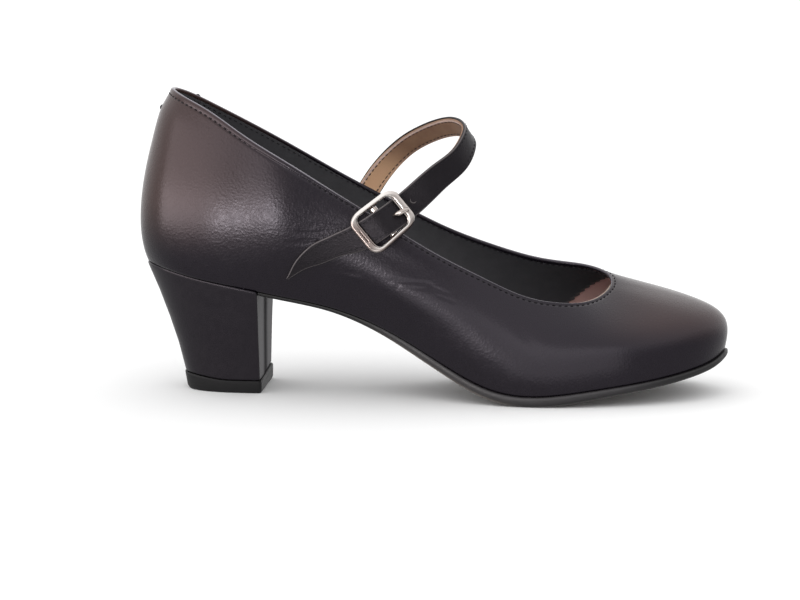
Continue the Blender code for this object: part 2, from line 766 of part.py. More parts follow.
def stand(root, parts):
    """Moves the whole shoe so that the origin is under the middle of its box."""
    bpy.context.view_layer.update()
    graph = bpy.context.evaluated_depsgraph_get()
    corners = []
    for obj in parts:
        shown = obj.evaluated_get(graph)
        corners += [shown.matrix_world @ vertex.co for vertex in shown.to_mesh().vertices]
        shown.to_mesh_clear()
    corners = np.array(corners)
    low, high = corners.min(axis=0), corners.max(axis=0)
    root.location = (-(low[0] + high[0]) / 2, -(low[1] + high[1]) / 2, -low[2])


def main():
    for obj in list(bpy.data.objects):
        bpy.data.objects.remove(obj)
    shoe = bpy.data.collections.new("flamenco_shoe")
    helpers = bpy.data.collections.new("helpers")
    for collection in (shoe, helpers):
        bpy.context.scene.collection.children.link(collection)
    root = bpy.data.objects.new("shoe_origin", None)
    shoe.objects.link(root)
    finishes = {name: material(name) for name in FINISHES}
    axes = BuckleAxes()

    def part(mesh, finish):
        return link(mesh.name, mesh, finishes[finish], shoe, root)

    upper = part(upper_mesh(), "black leather")
    thicken(upper, WALL)
    strap = part(strap_mesh(axes), "black leather")
    for number, place in enumerate(HOLE_PLACES):
        cutter = helper(f"strap_hole_{number}", hole_cutter(axes, place), helpers, root)
        boolean(strap, cutter, "DIFFERENCE")
    frame = part(loft("buckle_frame", frame_rings(axes), ends="joined"), "nickel")
    cross_bar = round_bar("cross_bar", bar_points(axes), BAR_RADIUS)
    boolean(frame, helper("cross_bar", cross_bar, helpers, root), "UNION")
    inner, outer = BAR_RADIUS + GAP, BAR_RADIUS + GAP + CLIP_SHEET
    prong_points = [axes.at(row.along, row.across, row.out) for row in PRONG_ROUTE]
    prong = part(round_bar("buckle_prong", prong_points, PRONG_RADIUS), "nickel")
    eye = sleeve("prong_eye", axes, EYE_START, EYE_END, inner, outer)
    boolean(prong, helper("prong_eye", eye, helpers, root), "UNION")
    half = CLIP_WIDTH / 2
    level = (CLIP_LEG_OUT - CLIP_SHEET / 2, CLIP_LEG_OUT + CLIP_SHEET / 2)
    leg_half = CLIP_LEG_WIDTH / 2
    clip = part(plate("buckle_clip", axes, (outer - GAP, CLIP_LEG), (-leg_half, leg_half), level), "nickel")
    slot = (EYE_START - GAP, EYE_END + GAP)
    for number, (start, end) in enumerate(((-half, slot[0]), (slot[1], half))):
        span = (start + KNUCKLE_INSET, end - KNUCKLE_INSET)
        knuckle = sleeve(f"clip_knuckle_{number}", axes, *span, inner, outer)
        boolean(clip, helper(knuckle.name, knuckle, helpers, root), "UNION")
    opening = plate("clip_slot", axes, (inner, outer + GAP), slot, (level[0] - GAP, level[1] + GAP))
    boolean(clip, helper("clip_slot", opening, helpers, root), "DIFFERENCE")
    solids = [
        upper,
        strap,
        frame,
        prong,
        clip,
        part(chape_mesh(axes), "elastic"),
        part(insole_mesh(), "black lining"),
        part(outsole_mesh(), "sole leather"),
        part(loft("heel", heel_rings(), ends="zipped"), "heel cover"),
        part(top_lift_mesh(), "top lift rubber"),
    ]
    stand(root, solids)


main()
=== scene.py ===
"""Looks of the flamenco shoe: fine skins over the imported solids, linings, seams, buckle and finishes.

Sizes are in millimetres until a mesh is made. +X points to the toe, +Y to the medial (inner) side of
the foot and +Z up.
"""

import math
from collections import namedtuple

import bpy
import numpy as np
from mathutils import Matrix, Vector


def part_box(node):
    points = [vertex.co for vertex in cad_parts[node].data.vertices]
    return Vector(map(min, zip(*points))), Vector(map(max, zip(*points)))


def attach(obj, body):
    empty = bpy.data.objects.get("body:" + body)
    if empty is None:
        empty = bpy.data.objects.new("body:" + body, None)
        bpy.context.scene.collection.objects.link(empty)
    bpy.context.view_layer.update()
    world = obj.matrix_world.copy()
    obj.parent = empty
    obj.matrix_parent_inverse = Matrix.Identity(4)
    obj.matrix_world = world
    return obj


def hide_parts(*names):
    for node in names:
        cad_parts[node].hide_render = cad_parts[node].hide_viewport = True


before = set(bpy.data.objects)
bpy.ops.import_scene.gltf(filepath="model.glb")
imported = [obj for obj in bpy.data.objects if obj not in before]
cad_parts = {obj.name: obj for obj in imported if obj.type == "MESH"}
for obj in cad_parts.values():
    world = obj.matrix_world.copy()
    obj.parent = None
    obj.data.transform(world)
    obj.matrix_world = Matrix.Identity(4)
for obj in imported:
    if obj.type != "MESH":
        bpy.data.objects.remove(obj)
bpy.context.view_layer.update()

MM = 0.001
BODY = "root"

# Driving dimensions of the shoe
LENGTH = 240.0
BALL_WIDTH = 76.0
WALL = 1.6
GAP = 0.3
SOLE_THICKNESS = 4.4
TOE_THICKNESS = 3.5
WAIST_THICKNESS = 2.0
SOLE_MARGIN = 1.2
WAIST_TUCK = 0.8
WAIST_THICKENS = (-45.0, 2.0)
WAIST_SPREADS = (-25.0, 30.0)
TOE_THINS = (50.0, 85.0)
INSOLE_THICKNESS = 2.4
INSOLE_EDGE_DROP = 0.7
INSOLE_EDGE_SHARE = 5
TOP_LIFT_THICKNESS = 5.0
STRAP_WIDTH = 11.2
STRAP_THICKNESS = 1.8
HOLE_RADIUS = 1.15
BUCKLE_LENGTH = 23.1
BUCKLE_WIDTH = 18.3

# The leather, its folded topline and the linings behind it, as depths in from the outer face
LEATHER = 1.0
EDGE_RADIUS = WALL / 2
LIP_DEPTH = 1.7
TAN_LAYER = (1.02, 1.32)
BLACK_LAYER = (1.36, 1.76)
STITCH_DEPTHS = (2.7, 1.65)
STITCH_CLIMBS = (-60.0, -25.0)
STITCH_PITCH = 2.5
STITCH_LENGTH = 1.5
THREAD_RADIUS = 0.25
THREAD_SINK = 0.20
INNER_THREAD_SINK = 0.06
INNER_THREAD_RADIUS = 0.2

# One row for each section of the upper, from the heel to the toe. The feather edge is where the upper
# meets the sole. x is a share of LENGTH from the middle, half-widths are shares of BALL_WIDTH, and heights
# are in millimetres above the floor. A lean is in degrees from upright: outwards at the feather edge, and
# on the way down from the topline. A reach is how far, in millimetres, the wall keeps to that lean.
Section = namedtuple(
    "Section",
    "name feather_x feather_z feather_lat feather_med "
    "top_x top_lat top_lat_z top_med top_med_z low_lean top_lean low_reach top_reach",
)
SECTIONS = (
    Section("heel back", -0.480, 52.2, 0.000, 0.000, -0.435, 0.000, 122.6, 0.000, 122.6, 24, 33, 22, 10),
    Section("heel corner", -0.452, 51.4, 0.205, 0.205, -0.412, 0.165, 120.6, 0.165, 119.3, 21, 27, 23, 14),
    Section("heel side", -0.400, 48.8, 0.310, 0.310, -0.363, 0.262, 115.3, 0.262, 112.4, 16, 17, 24, 20),
    Section("heel seat", -0.325, 45.3, 0.338, 0.338, -0.298, 0.322, 105.4, 0.322, 103.6, 14, 12, 22, 20),
    Section("heel breast", -0.245, 41.4, 0.325, 0.310, -0.228, 0.355, 95.6, 0.355, 94.0, 17, 10, 20, 19),
    Section("waist back", -0.155, 36.7, 0.320, 0.275, -0.150, 0.372, 84.3, 0.372, 83.3, 20, 10, 18, 17),
    Section("waist", -0.060, 27.9, 0.340, 0.265, -0.062, 0.385, 71.8, 0.385, 72.2, 20, 13, 17, 16),
    Section("waist front", 0.035, 15.0, 0.395, 0.315, 0.025, 0.382, 59.4, 0.382, 62.2, 15, 18, 17, 16),
    Section("ball back", 0.115, 6.2, 0.460, 0.410, 0.098, 0.368, 50.5, 0.368, 56.0, 10, 26, 17, 16),
    Section("ball", 0.195, 4.4, 0.492, 0.475, 0.165, 0.335, 43.0, 0.338, 51.7, 7, 35, 17, 17),
    Section("ball front", 0.285, 6.9, 0.462, 0.490, 0.218, 0.290, 40.0, 0.305, 50.0, 5, 46, 17, 21),
    Section("toe side", 0.375, 9.9, 0.372, 0.437, 0.259, 0.232, 39.4, 0.258, 49.2, 4, 57, 17, 26),
    Section("toe corner", 0.442, 12.9, 0.250, 0.325, 0.288, 0.130, 40.6, 0.175, 48.0, 6, 70, 17.3, 35),
    Section("toe shoulder", 0.483, 15.8, 0.105, 0.190, 0.303, 0.036, 42.9, 0.098, 46.3, 11, 78, 17.3, 43),
    Section("toe tip", 0.4985, 18.0, -0.055, 0.055, 0.306, -0.030, 44.6, 0.030, 44.6, 13, 80, 17.3, 45),
)

# Soft creases of the leather in the side view: the middle, the turn in degrees, the length, the half-width
# and the height of each. A trough has a height below 0. side is -1 on the lateral wall and 1 on the medial.
Crease = namedtuple("Crease", "name side x z angle length width height")
CREASES = (
    Crease("fullness of the quarter", -1, -58.0, 78.0, 90, 70.0, 11.0, 0.8),
    Crease("ridge below the strap", -1, -14.0, 46.5, -22, 70.0, 6.0, 0.55),
    Crease("hollow under the buckle", -1, -10.0, 57.0, -27, 46.0, 4.5, -0.45),
    Crease("long fold", -1, -4.0, 48.6, -4, 17.0, 0.9, -0.22),
    Crease("short fold", -1, 0.0, 46.2, -3, 12.0, 0.8, -0.18),
    Crease("slanting fold", -1, -11.5, 45.6, 38, 7.0, 0.8, -0.11),
    Crease("front fold", -1, 6.0, 46.0, -24, 11.0, 0.8, -0.18),
    Crease("front fold below", -1, 9.0, 42.5, -20, 9.0, 0.8, -0.15),
    Crease("tail fold", -1, -30.0, 50.4, -8, 12.0, 0.9, 0.20),
    Crease("fold behind the buckle", -1, -42.0, 68.0, 4, 18.0, 1.0, -0.11),
    Crease("fold behind the buckle above", -1, -38.0, 71.5, 6, 14.0, 0.9, -0.10),
    Crease("fold behind the buckle below", -1, -46.0, 64.0, 3, 15.0, 0.9, -0.09),
    Crease("lateral ball fold", -1, 42.0, 27.0, -48, 18.0, 2.2, -0.16),
    Crease("medial ball fold", 1, 44.0, 30.0, -50, 20.0, 2.0, -0.20),
    Crease("medial waist fold", 1, 2.0, 44.0, -12, 18.0, 1.2, -0.20),
    Crease("medial waist fold below", 1, 8.0, 40.0, -16, 13.0, 1.0, -0.18),
    Crease("medial strap fold", 1, -22.0, 58.0, -14, 16.0, 1.2, -0.18),
)

# Where a brown tint is painted as the warm sheen on the heel back and toe top, and where the lateral wall is
# finely wrinkled
SheenTint = namedtuple("SheenTint", "name share towards x z")
SHEEN_TINTS = (
    SheenTint("back of the heel", 0.9, -1, (45.0, 108.0), (54.0, 82.0)),
    SheenTint("top of the toe", 0.55, 1, (62.0, 96.0), (22.0, 34.0)),
)
Wrinkles = namedtuple("Wrinkles", "name share x half_length z half_height")
WRINKLES = (
    Wrinkles("behind the buckle", 1.0, -42.0, 12.0, 69.0, 8.0),
    Wrinkles("under the buckle", 0.6, -2.0, 16.0, 47.0, 5.0),
)

# Levels of the covered heel, from the seat down. depth is the share of the way from seat to top lift.
HeelLevel = namedtuple("HeelLevel", "depth back_x breast_x half_width squareness")
HEEL_LEVELS = (
    HeelLevel(0.00, -115.4, -67.2, 26.2, 2.3),
    HeelLevel(0.25, -110.6, -67.3, 23.8, 2.4),
    HeelLevel(0.50, -106.4, -67.4, 21.6, 2.5),
    HeelLevel(0.75, -102.7, -67.4, 19.5, 2.6),
    HeelLevel(1.00, -99.9, -67.4, 17.7, 2.7),
)
HEEL_CORNER = 1.2
HEEL_CENTRE = (-90.0, 0.0)
SEAT_EDGE = ((0.0, 0.7), (0.004, 0.385), (0.010, 0.175), (0.018, 0.042))
FOOT_EDGE = ((0.992, 0.07), (1.0, 0.35))
BREAST_SEAM_WIDTH = 4.2
BREAST_SEAM_DEPTH = 0.12
BREAST_ROUGHNESS = 0.5
SEAM_ROUGHNESS = 0.95
PLAIN_DEPTHS = (0.03, 0.985, 40)
HEEL_SIDE_POINTS = 70

# Levels of the top lift: how far each stands out from the heel's foot at the back, in front and at
# the sides.
LiftLevel = namedtuple("LiftLevel", "z back front side")
TOP_LIFT_LEVELS = (
    LiftLevel(TOP_LIFT_THICKNESS, 0.0, 0.4, 0.1),
    LiftLevel(TOP_LIFT_THICKNESS - 0.4, 0.3, 0.7, 0.4),
    LiftLevel(0.9, -0.6, 0.7, 0.0),
    LiftLevel(0.0, -1.3, 0.2, -0.6),
)
LIFT_BACK_RISE = 1.8
LIFT_BACK_GROWS = (80.0, 100.0)
LIFT_MEDIAL_RISE = 1.4
LIFT_MEDIAL_GROWS = (-10.0, 18.0)

# The sole's edge in section: millimetres in from the edge, and the share of its thickness down from its top
EdgePoint = namedtuple("EdgePoint", "inset depth")
SOLE_EDGE = (
    EdgePoint(4.0, 0.00),
    EdgePoint(1.0, 0.00),
    EdgePoint(0.45, 0.02),
    EdgePoint(0.15, 0.08),
    EdgePoint(0.00, 0.22),
    EdgePoint(0.00, 0.45),
    EdgePoint(0.12, 0.55),
    EdgePoint(0.16, 0.64),
    EdgePoint(0.45, 0.78),
    EdgePoint(1.20, 0.90),
    EdgePoint(2.60, 0.97),
    EdgePoint(6.00, 0.99),
    EdgePoint(12.0, 1.00),
)
TOE_ROUNDER = 1.2
TOE_ROUNDS = (70.0, 112.0)
TIP_INSET = 3.5
LOW_DARK = 0.6
TOE_DARK = 0.75

# Where the sole's tread, the paler band low on its edge and its darker edge, black ink at the waist, begin
# or end: by inset, by depth and along x
TREAD_INSETS = (1.5, 4.5)
TREAD_DEPTH = 0.9
PALE_BAND_DEPTHS = (0.6, 0.78)
PALE_BAND_INSETS = (1.2, 2.6)
PALE_BAND_ENDS_X = (20.0, 45.0)
DARK_EDGE_INSETS = (2.6, 6.0)
WAIST_DARK_ENDS_X = (-30.0, -8.0)
LOW_DARK_DEPTHS = (0.4, 0.7)
LOW_DARK_STARTS_X = (20.0, 60.0)
TOE_DARK_STARTS_X = (75.0, 100.0)

# The strap's centreline where it arches free over the instep, from the medial topline to the buckle.
# pitch is how far, in degrees, the strap's width tips down towards the toe, and lean how far it turns to
# the medial side.
StrapPoint = namedtuple("StrapPoint", "name x y z pitch lean half_width")
STRAP_ARCH = (
    StrapPoint("medial rise", -23.4, 28.9, 84.4, 34, 0.15, 4.7),
    StrapPoint("medial shoulder", -12.9, 25.5, 95.7, 48, 0.45, 4.7),
    StrapPoint("medial crown", -1.0, 17.0, 103.1, 50, 0.45, 4.8),
    StrapPoint("crown", 10.8, 4.0, 106.8, 60, 0.40, 4.8),
    StrapPoint("lateral crown", 16.7, -11.2, 104.3, 60, 0.50, 4.9),
    StrapPoint("lateral shoulder", 13.7, -21.0, 96.9, 56, 0.35, 5.1),
    StrapPoint("lateral fall", 5.1, -27.0, 89.6, 55, 0.17, 5.4),
)

# Where the strap lies on the walls of the upper, in the side view. proud is how far its middle stands off
# the wall, and above and below are the half-widths that shape the pointed end.
WallPoint = namedtuple("WallPoint", "name x z pitch proud above below")
STRAP_ROOT = (
    WallPoint("root end", -34.4, 65.8, 29, 1.25, 4.7, 4.7),
    WallPoint("root middle", -30.9, 72.2, 29, 1.25, 4.7, 4.7),
    WallPoint("root at topline", -27.2, 78.6, 29, 1.30, 4.7, 4.7),
)
STRAP_TAIL = (
    WallPoint("tail start", -34.6, 62.8, 64, 1.70, 4.7, 4.6),
    WallPoint("tail shoulder", -42.2, 59.2, 62, 1.40, 4.5, 4.2),
    WallPoint("tail taper", -48.2, 55.3, 54, 1.30, 3.0, 2.5),
    WallPoint("tail tip", -54.4, 49.2, 46, 1.30, 0.4, 0.4),
)

# The strap's layers and stitches, where along it the highlight painted on the end of its lining fades, and
# places across its faces as shares of its width, close together by its edges
STRAP_RINGS = 460
STRAP_LAYERS_MEET = (0.12, 0.14)
STRAP_STITCH_INSET = 1.6
STRAP_STITCHES = (2.3, 1.75, 0.19)
STRAP_STITCH_LEAST = 0.6
STRAP_STITCH_SINK = 0.02
STRAP_ROUNDINGS = (0.5, 0.25)
LOW_EDGE_HIGHLIGHT = 0.6
LINING_LOW_EDGE = 0.15
TIP_HALF = 0.05
CUT_REACH = 3.0
STRAP_HIGHLIGHT_FADES = (17.0, 40.0)
LINING_INSET = 0.3
ROUND_STEPS = 5
FLAT_PARTS = np.array([0.02, 0.09, 0.12, 0.3, 0.5, 0.7, 0.88, 0.91, 0.98])

# The buckle sits across the lateral topline. Its own axes run along the strap to the tail, across the
# strap to the sole, and out from the wall, and these sizes are measured along them from the wall.
BUCKLE_X = -16.0
BUCKLE_DROP = 0.3
BUCKLE_SLOPE = 40.6
FRAME_OUT = 4.7
FRAME_THICKNESS = 2.2
RAIL_WIDTH = 1.9
END_BAR_WIDTH = 3.2
FRAME_CORNER = 4.0
FRAME_TAPER = 0.005
BAR_OUT = 2.35
BAR_RADIUS = 0.75
BAR_BEND = 1.2
CLIP_SHEET = 0.6
PRONG_RADIUS = 0.8
PRONG_SWELL = 0.25
PRONG_SWELLS = (0.5, 0.7)
PRONG_TAPER = 0.4
PRONG_TAPERS = (0.93, 1.0)
PRONG_RINGS = 48
BAR_RINGS = 40
CORNER_RINGS = 14
EYE_START = -0.2
EYE_END = 1.8
HOLE_PLACES = (-14.7, -4.6, 7.0)
RIM_RADIUS = 1.2
RIM_THICKNESS = 0.22
RIM_TURNS = (-60.0, 120.0)
BucklePoint = namedtuple("BucklePoint", "name along across out")
STRAP_WEAVE = (
    BucklePoint("under the bar by the toe", -10.0, 1.05, 2.3),
    BucklePoint("over the cross bar", 0.0, 0.6, 5.2),
    BucklePoint("under the bar by the tail", 10.0, -0.9, 2.3),
)
PRONG_ROUTE = (
    BucklePoint("eye", -1.2, 0.8, 2.2),
    BucklePoint("under strap", -2.6, 0.9, 2.0),
    BucklePoint("below hole", -3.7, 0.9, 2.3),
    BucklePoint("in hole", -4.7, 1.0, 4.4),
    BucklePoint("above hole", -5.9, 1.4, 6.3),
    BucklePoint("on end bar", -7.8, 2.0, 7.2),
    BucklePoint("tip", -10.7, 2.8, 7.1),
)

# The buckle frame in section: shares of its half-width away from its middle, and of its half-thickness out,
# first on the rails, which slope to the outside, and then on the flat end bars
FramePoint = namedtuple("FramePoint", "away rail_out end_out")
FRAME_SECTION = (
    FramePoint(1.00, -0.55, -0.30),
    FramePoint(0.91, 0.02, 0.55),
    FramePoint(0.56, 0.52, 0.95),
    FramePoint(0.06, 0.90, 0.98),
    FramePoint(-0.40, 1.00, 0.86),
    FramePoint(-0.66, 0.84, 0.70),
    FramePoint(-0.77, 0.45, 0.42),
    FramePoint(-0.97, 0.32, 0.30),
    FramePoint(-1.00, -0.40, -0.40),
    FramePoint(-0.60, -0.96, -0.96),
    FramePoint(0.60, -0.98, -0.98),
)
GROOVE_DEPTH = 0.55
GROOVE_HALF = 4.2
GROOVE_RUN_OUT = 2.0
GROOVE_OFFSET = -0.1
GROOVE_WIDTH = 0.28
# Painted shade on the frame: where it starts across the lower rail's outer slope, and how much the end bar
# by the toe gets
RAIL_SHADE_STARTS = (-0.3, 0.1)
SECTION_POINTS = 36
TOE_BAR_SHADE = 0.6

# Relief of the leather at its seams, and the pinch over the heel
SEAM_DIP = 0.24
SEAM_WIDTH = 0.5
FOLD_RISE = 0.10
FOLD_WIDTH = 0.7
BACK_SEAM_DIP = 0.30
BACK_SEAM_WIDTH = 0.6
BACK_SEAM_STARTS = (3.0, 5.0)
TUCK_RISE = 0.65
TUCK_DEPTH = 10.0
TUCK_ABOVE = 4.5
TUCK_BELOW = 10.0
TUCK_ROUND = 16.0

# The painted highlight on the topline: turns round its rolled edge, in radians, and where along the shoe the
# highlight fades
RIM_STARTS = (math.radians(15.0), math.radians(40.0))
RIM_ENDS = (1.75, 2.1)
RIM_LEAST = 0.45
RIM_FADES = (-50.0, -25.0)

# Fineness of the upper's skin: rows on its face, rows close to the topline, and rows behind; then the
# steps of the lasting margin under it
UPPER_COLUMNS = 840
FACE_ROWS = 66
FINE_ROWS = 24
FINE_DEPTH = 6.0
ROLL_STEPS = 11
BACK_ROWS = 12
MARGIN_STEPS = (3.2, 1.2, 0.35)
MARGIN_DROP = 0.12

# Where the linings meet: at the topline, how far back each millimetre of depth takes the edge, and its
# teeth. Then the tan lining's raw edge: its stretch along x, and its section in from the face and up.
LINING_MEETS_X = 75.0
LINING_SLANT = 1.15
LINING_STOPS_X = 30.0
VAMP_STARTS_X = 18.0
TOOTH_PITCH = 2.0
TOOTH_HEIGHT = 1.0
QUARTER_COLUMNS = 330
VAMP_COLUMNS = 160
LINING_FOOT_GAP = 0.4
RAW_EDGE = (56.0, 75.0)
RAW_SECTION = ((1.25, -0.9), (1.25, 1.25), (1.70, 1.25), (1.70, -0.9))

# Knots at the ends of the topline's thread: share round the topline, depth below it and size
THREAD_KNOTS = ((0.001, 9.5, 1.3), (0.962, 0.9, 1.1))

# The photograph's camera: round the shoe, above the floor, and where the target shows in the frame
CAMERA_AZIMUTH = 5.0
CAMERA_ELEVATION = 8.4
CAMERA_DISTANCE = 1.300
CAMERA_TARGET = (0.0, 0.0, 0.055)
SENSOR_WIDTH = 36.0
IMAGE_WIDTH = 800
IMAGE_HEIGHT = 600
FOCAL_PIXELS = 3207.9
TARGET_PIXEL = (433.35, 254.83)

# Flat lights for the gloss, in metres, given by how bright their faces are
WHITE = (1.0, 1.0, 1.0)
WARM = (1.0, 0.93, 0.90)
Softbox = namedtuple("Softbox", "name place target size radiance colour", defaults=(WHITE,))
SOFTBOXES = (
    Softbox("left low", (-0.3325, -0.2475, 0.0665), (-0.0825, 0.0025, 0.0665), (0.483, 0.105), 4.5, WARM),
    Softbox("left middle", (-0.3325, -0.2475, 0.062), (-0.0825, 0.0025, 0.062), (0.400, 0.060), 3.8, WARM),
    Softbox("left high", (-0.3403, -0.2397, 0.195), (-0.0903, 0.0103, 0.195), (0.458, 0.160), 1.8, WARM),
    Softbox("left near", (-0.169, -0.420, 0.039), (-0.075, -0.030, 0.074), (0.044, 0.040), 39.0),
    Softbox("front of the waist", (-0.0105, -0.085, 0.0345), (-0.0105, -0.030, 0.0345), (0.051, 0.045), 1.1),
    Softbox("front of the vamp", (0.064, -0.085, 0.030), (0.064, -0.030, 0.030), (0.096, 0.058), 1.0),
)
DOME_HEIGHTS = (0.10, 0.50)
DOME_STRENGTHS = (0.58, 1.30)
BACKDROP_SHARE = 0.5
FLOOR_REACH = 9.0
FLOOR_COLOUR = (0.93, 0.93, 0.93, 1.0)


# Curves


def hermite(start, end, start_slope, end_slope, part):
    """A cubic from start to end with these slopes, read at part, from 0 to 1."""
    square, cube = part**2, part**3
    return (
        (2 * cube - 3 * square + 1) * start
        + (cube - 2 * square + part) * start_slope
        + (3 * square - 2 * cube) * end
        + (cube - square) * end_slope
    )


def added_up(steps):
    return np.concatenate([[0.0], np.cumsum(steps)])


def closed_spline(points, knot_columns):
    """A function of 0 to 1 that runs once round a smooth closed curve, and each point's share of it."""
    count = len(points)
    following = np.roll(points, -1, axis=0)
    steps = np.linalg.norm((following - points)[:, :knot_columns], axis=1)
    ahead = (following - points) / steps[:, None]
    before = np.roll(steps, 1)
    balance = np.diag(2 * (before + steps))
    for i in range(count):
        balance[i, i - 1] += steps[i]
        balance[i, (i + 1) % count] += before[i]
    sums = 3 * (steps[:, None] * np.roll(ahead, 1, axis=0) + before[:, None] * ahead)
    slopes = np.linalg.solve(balance, sums)
    knots = added_up(steps)

    def at(share):
        place = np.mod(share, 1.0) * knots[-1]
        i = np.clip(np.searchsorted(knots, place, side="right") - 1, 0, count - 1)
        j = (i + 1) % count
        step = np.asarray(steps[i])[..., None]
        part = (np.asarray(place) - knots[i])[..., None] / step
        return hermite(points[i], points[j], slopes[i] * step, slopes[j] * step, part)

    return at, knots[:-1] / knots[-1]


def open_spline(points, count):
    """count evenly spaced points on a smooth curve through the points."""
    points = np.asarray(points, float)
    steps = np.linalg.norm(np.diff(points[:, :3], axis=0), axis=1)
    knots = added_up(steps)
    slopes = np.gradient(points, knots, axis=0)
    place = np.linspace(0.0, knots[-1], count)
    i = np.clip(np.searchsorted(knots, place, side="right") - 1, 0, len(steps) - 1)
    step = steps[i][:, None]
    part = (place - knots[i])[:, None] / step
    return hermite(points[i], points[i + 1], slopes[i] * step, slopes[i + 1] * step, part)


def unit(vectors):
    return vectors / np.linalg.norm(vectors, axis=-1, keepdims=True)


def outward(run):
    """The level direction to the right of a run: outwards, on a loop that turns to the left."""
    return unit(np.stack([run[..., 1], -run[..., 0], np.zeros_like(run[..., 0])], axis=-1))


def ease(value, low, high):
    """0 below low, 1 above high, and smooth between."""
    part = np.clip((value - low) / (high - low), 0.0, 1.0)
    return part * part * (3 - 2 * part)


def bell(value, width):
    """1 at 0, falling softly to nothing over about two widths."""
    return np.exp(-((value / width) ** 2))


def travel(points):
    """How far along its line each point lies."""
    return added_up(np.linalg.norm(np.diff(points, axis=0), axis=1))


# The upper's outer surface

FEATHER = slice(0, 3)
TOPLINE = slice(3, 6)
TOP_X = 3
UP = np.array([0.0, 0.0, 1.0])
NUDGE = 1e-4
RISES = np.linspace(0.0, 1.0, 241)


def control(row, side):
    """The values of one section on one side: -1 is lateral and +1 medial."""
    lateral = row.feather_lat, row.top_lat, row.top_lat_z
    medial = row.feather_med, row.top_med, row.top_med_z
    feather_half, top_half, top_z = lateral if side < 0 else medial
    feather = row.feather_x * LENGTH, side * feather_half * BALL_WIDTH, row.feather_z
    top = row.top_x * LENGTH, side * top_half * BALL_WIDTH, top_z
    return (*feather, *top, row.low_lean, row.top_lean, row.low_reach, row.top_reach)


CONTROLS = [control(row, -1) for row in SECTIONS] + [control(row, 1) for row in SECTIONS[-2:0:-1]]
RING, SHARES = closed_spline(np.array(CONTROLS), knot_columns=6)
TOE_SHARE = SHARES[len(SECTIONS) - 1]


def ring_run(share):
    return RING(share + NUDGE) - RING(share - NUDGE)


def side_shares(side, count):
    """Shares from the heel to the toe along one side."""
    return np.linspace(0.0 if side < 0 else 1.0, TOE_SHARE, count)


def upper_surface(share, rise):
    """A point of the upper's outer face. share runs round the shoe from the heel by the lateral side, and
    rise from the feather edge, 0, to the topline, 1."""
    share, rise = np.broadcast_arrays(np.asarray(share, float), np.asarray(rise, float))
    row, run = RING(share), ring_run(share)
    low, top = row[..., FEATHER], row[..., TOPLINE]
    low_lean, top_lean = np.radians(row[..., 6:7]), np.radians(row[..., 7:8])
    low_reach, top_reach = row[..., 8:9], row[..., 9:10]
    low_way = np.sin(low_lean) * outward(run[..., FEATHER]) + np.cos(low_lean) * UP
    top_way = np.sin(top_lean) * outward(run[..., TOPLINE]) - np.cos(top_lean) * UP
    low_handle = low + low_reach * low_way
    top_handle = top + top_reach * top_way
    part = rise[..., None]
    rest = 1 - part
    return rest**3 * low + 3 * rest**2 * part * low_handle + 3 * rest * part**2 * top_handle + part**3 * top


def surface_runs(share, rise):
    """Short runs of the outer face, round the shoe and up the wall."""
    along = upper_surface(share + NUDGE, rise) - upper_surface(share - NUDGE, rise)
    up = upper_surface(share, rise + NUDGE) - upper_surface(share, rise - NUDGE)
    return along, up


def upper_normal(share, rise):
    return unit(np.cross(*surface_runs(share, rise)))


def wall_heights(shares):
    """How far, along the wall, each of RISES lies below the topline, from the topline down."""
    wall = upper_surface(shares[:, None], RISES[None, ::-1])
    steps = np.linalg.norm(np.diff(wall, axis=1), axis=2)
    return np.concatenate([np.zeros((len(shares), 1)), np.cumsum(steps, axis=1)], axis=1)


def below_topline(shares, depths):
    """Points and normals of the outer face at depths below the topline, with a column for each share."""
    columns = [
        np.interp(depths[:, i], run, RISES[::-1]) for i, run in enumerate(wall_heights(shares))
    ]
    rises = np.stack(columns, axis=1)
    return upper_surface(shares[None], rises), upper_normal(shares[None], rises)


def on_wall(x, z, side):
    """The point and outward normal of the upper's outer face that the side view shows at x and z."""
    shares, rises = np.meshgrid(side_shares(side, 120), np.linspace(0.0, 1.05, 50), indexing="ij")
    away = upper_surface(shares, rises) - np.array([x, 0.0, z])
    nearest = np.argmin(away[..., 0] ** 2 + away[..., 2] ** 2)
    place = np.array([shares.flat[nearest], rises.flat[nearest]])
    for _ in range(6):
        miss = upper_surface(*place)[[0, 2]] - np.array([x, z])
        turn = np.stack(surface_runs(*place), axis=1)[[0, 2]]
        place = place - np.linalg.solve(turn / (2 * NUDGE), miss)
    return upper_surface(*place), upper_normal(*place)


def feather_edges(x, spread):
    """The lateral and medial points of the feather outline at x, moved out level by spread."""
    edges = []
    for side in (-1, 1):
        shares = side_shares(side, 300)
        line = RING(shares)[:, FEATHER] + spread * outward(ring_run(shares)[:, FEATHER])
        edges.append(np.array([x] + [np.interp(x, line[:, 0], line[:, column]) for column in (1, 2)]))
    return edges


def share_at(x, side):
    """The share at which the topline passes x on one side."""
    shares = side_shares(side, 600)
    return np.interp(x, RING(shares)[:, TOP_X], shares)


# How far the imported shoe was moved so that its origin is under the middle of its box
TOE_X = upper_surface(np.linspace(0.0, 1.0, 2000), 0.0)[:, 0].max() + SOLE_MARGIN
SHIFT = np.array([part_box("outsole")[1][0] / MM - TOE_X, 0.0, 0.0])


# Mesh helpers


def grid_faces(rows, columns, closed_columns=True, closed_rows=False):
    """Four-sided faces between neighbours of a grid of points."""
    index = np.arange(rows * columns).reshape(rows, columns)
    if closed_columns:
        index = np.concatenate([index, index[:, :1]], axis=1)
    if closed_rows:
        index = np.concatenate([index, index[:1]], axis=0)
    corners = (index[:-1, :-1], index[:-1, 1:], index[1:, 1:], index[1:, :-1])
    return np.stack(corners, axis=-1).reshape(-1, 4)


def solid(points, faces):
    """A shape as points and lists of corners."""
    return np.asarray(points, float).reshape(-1, 3), np.asarray(faces).tolist()


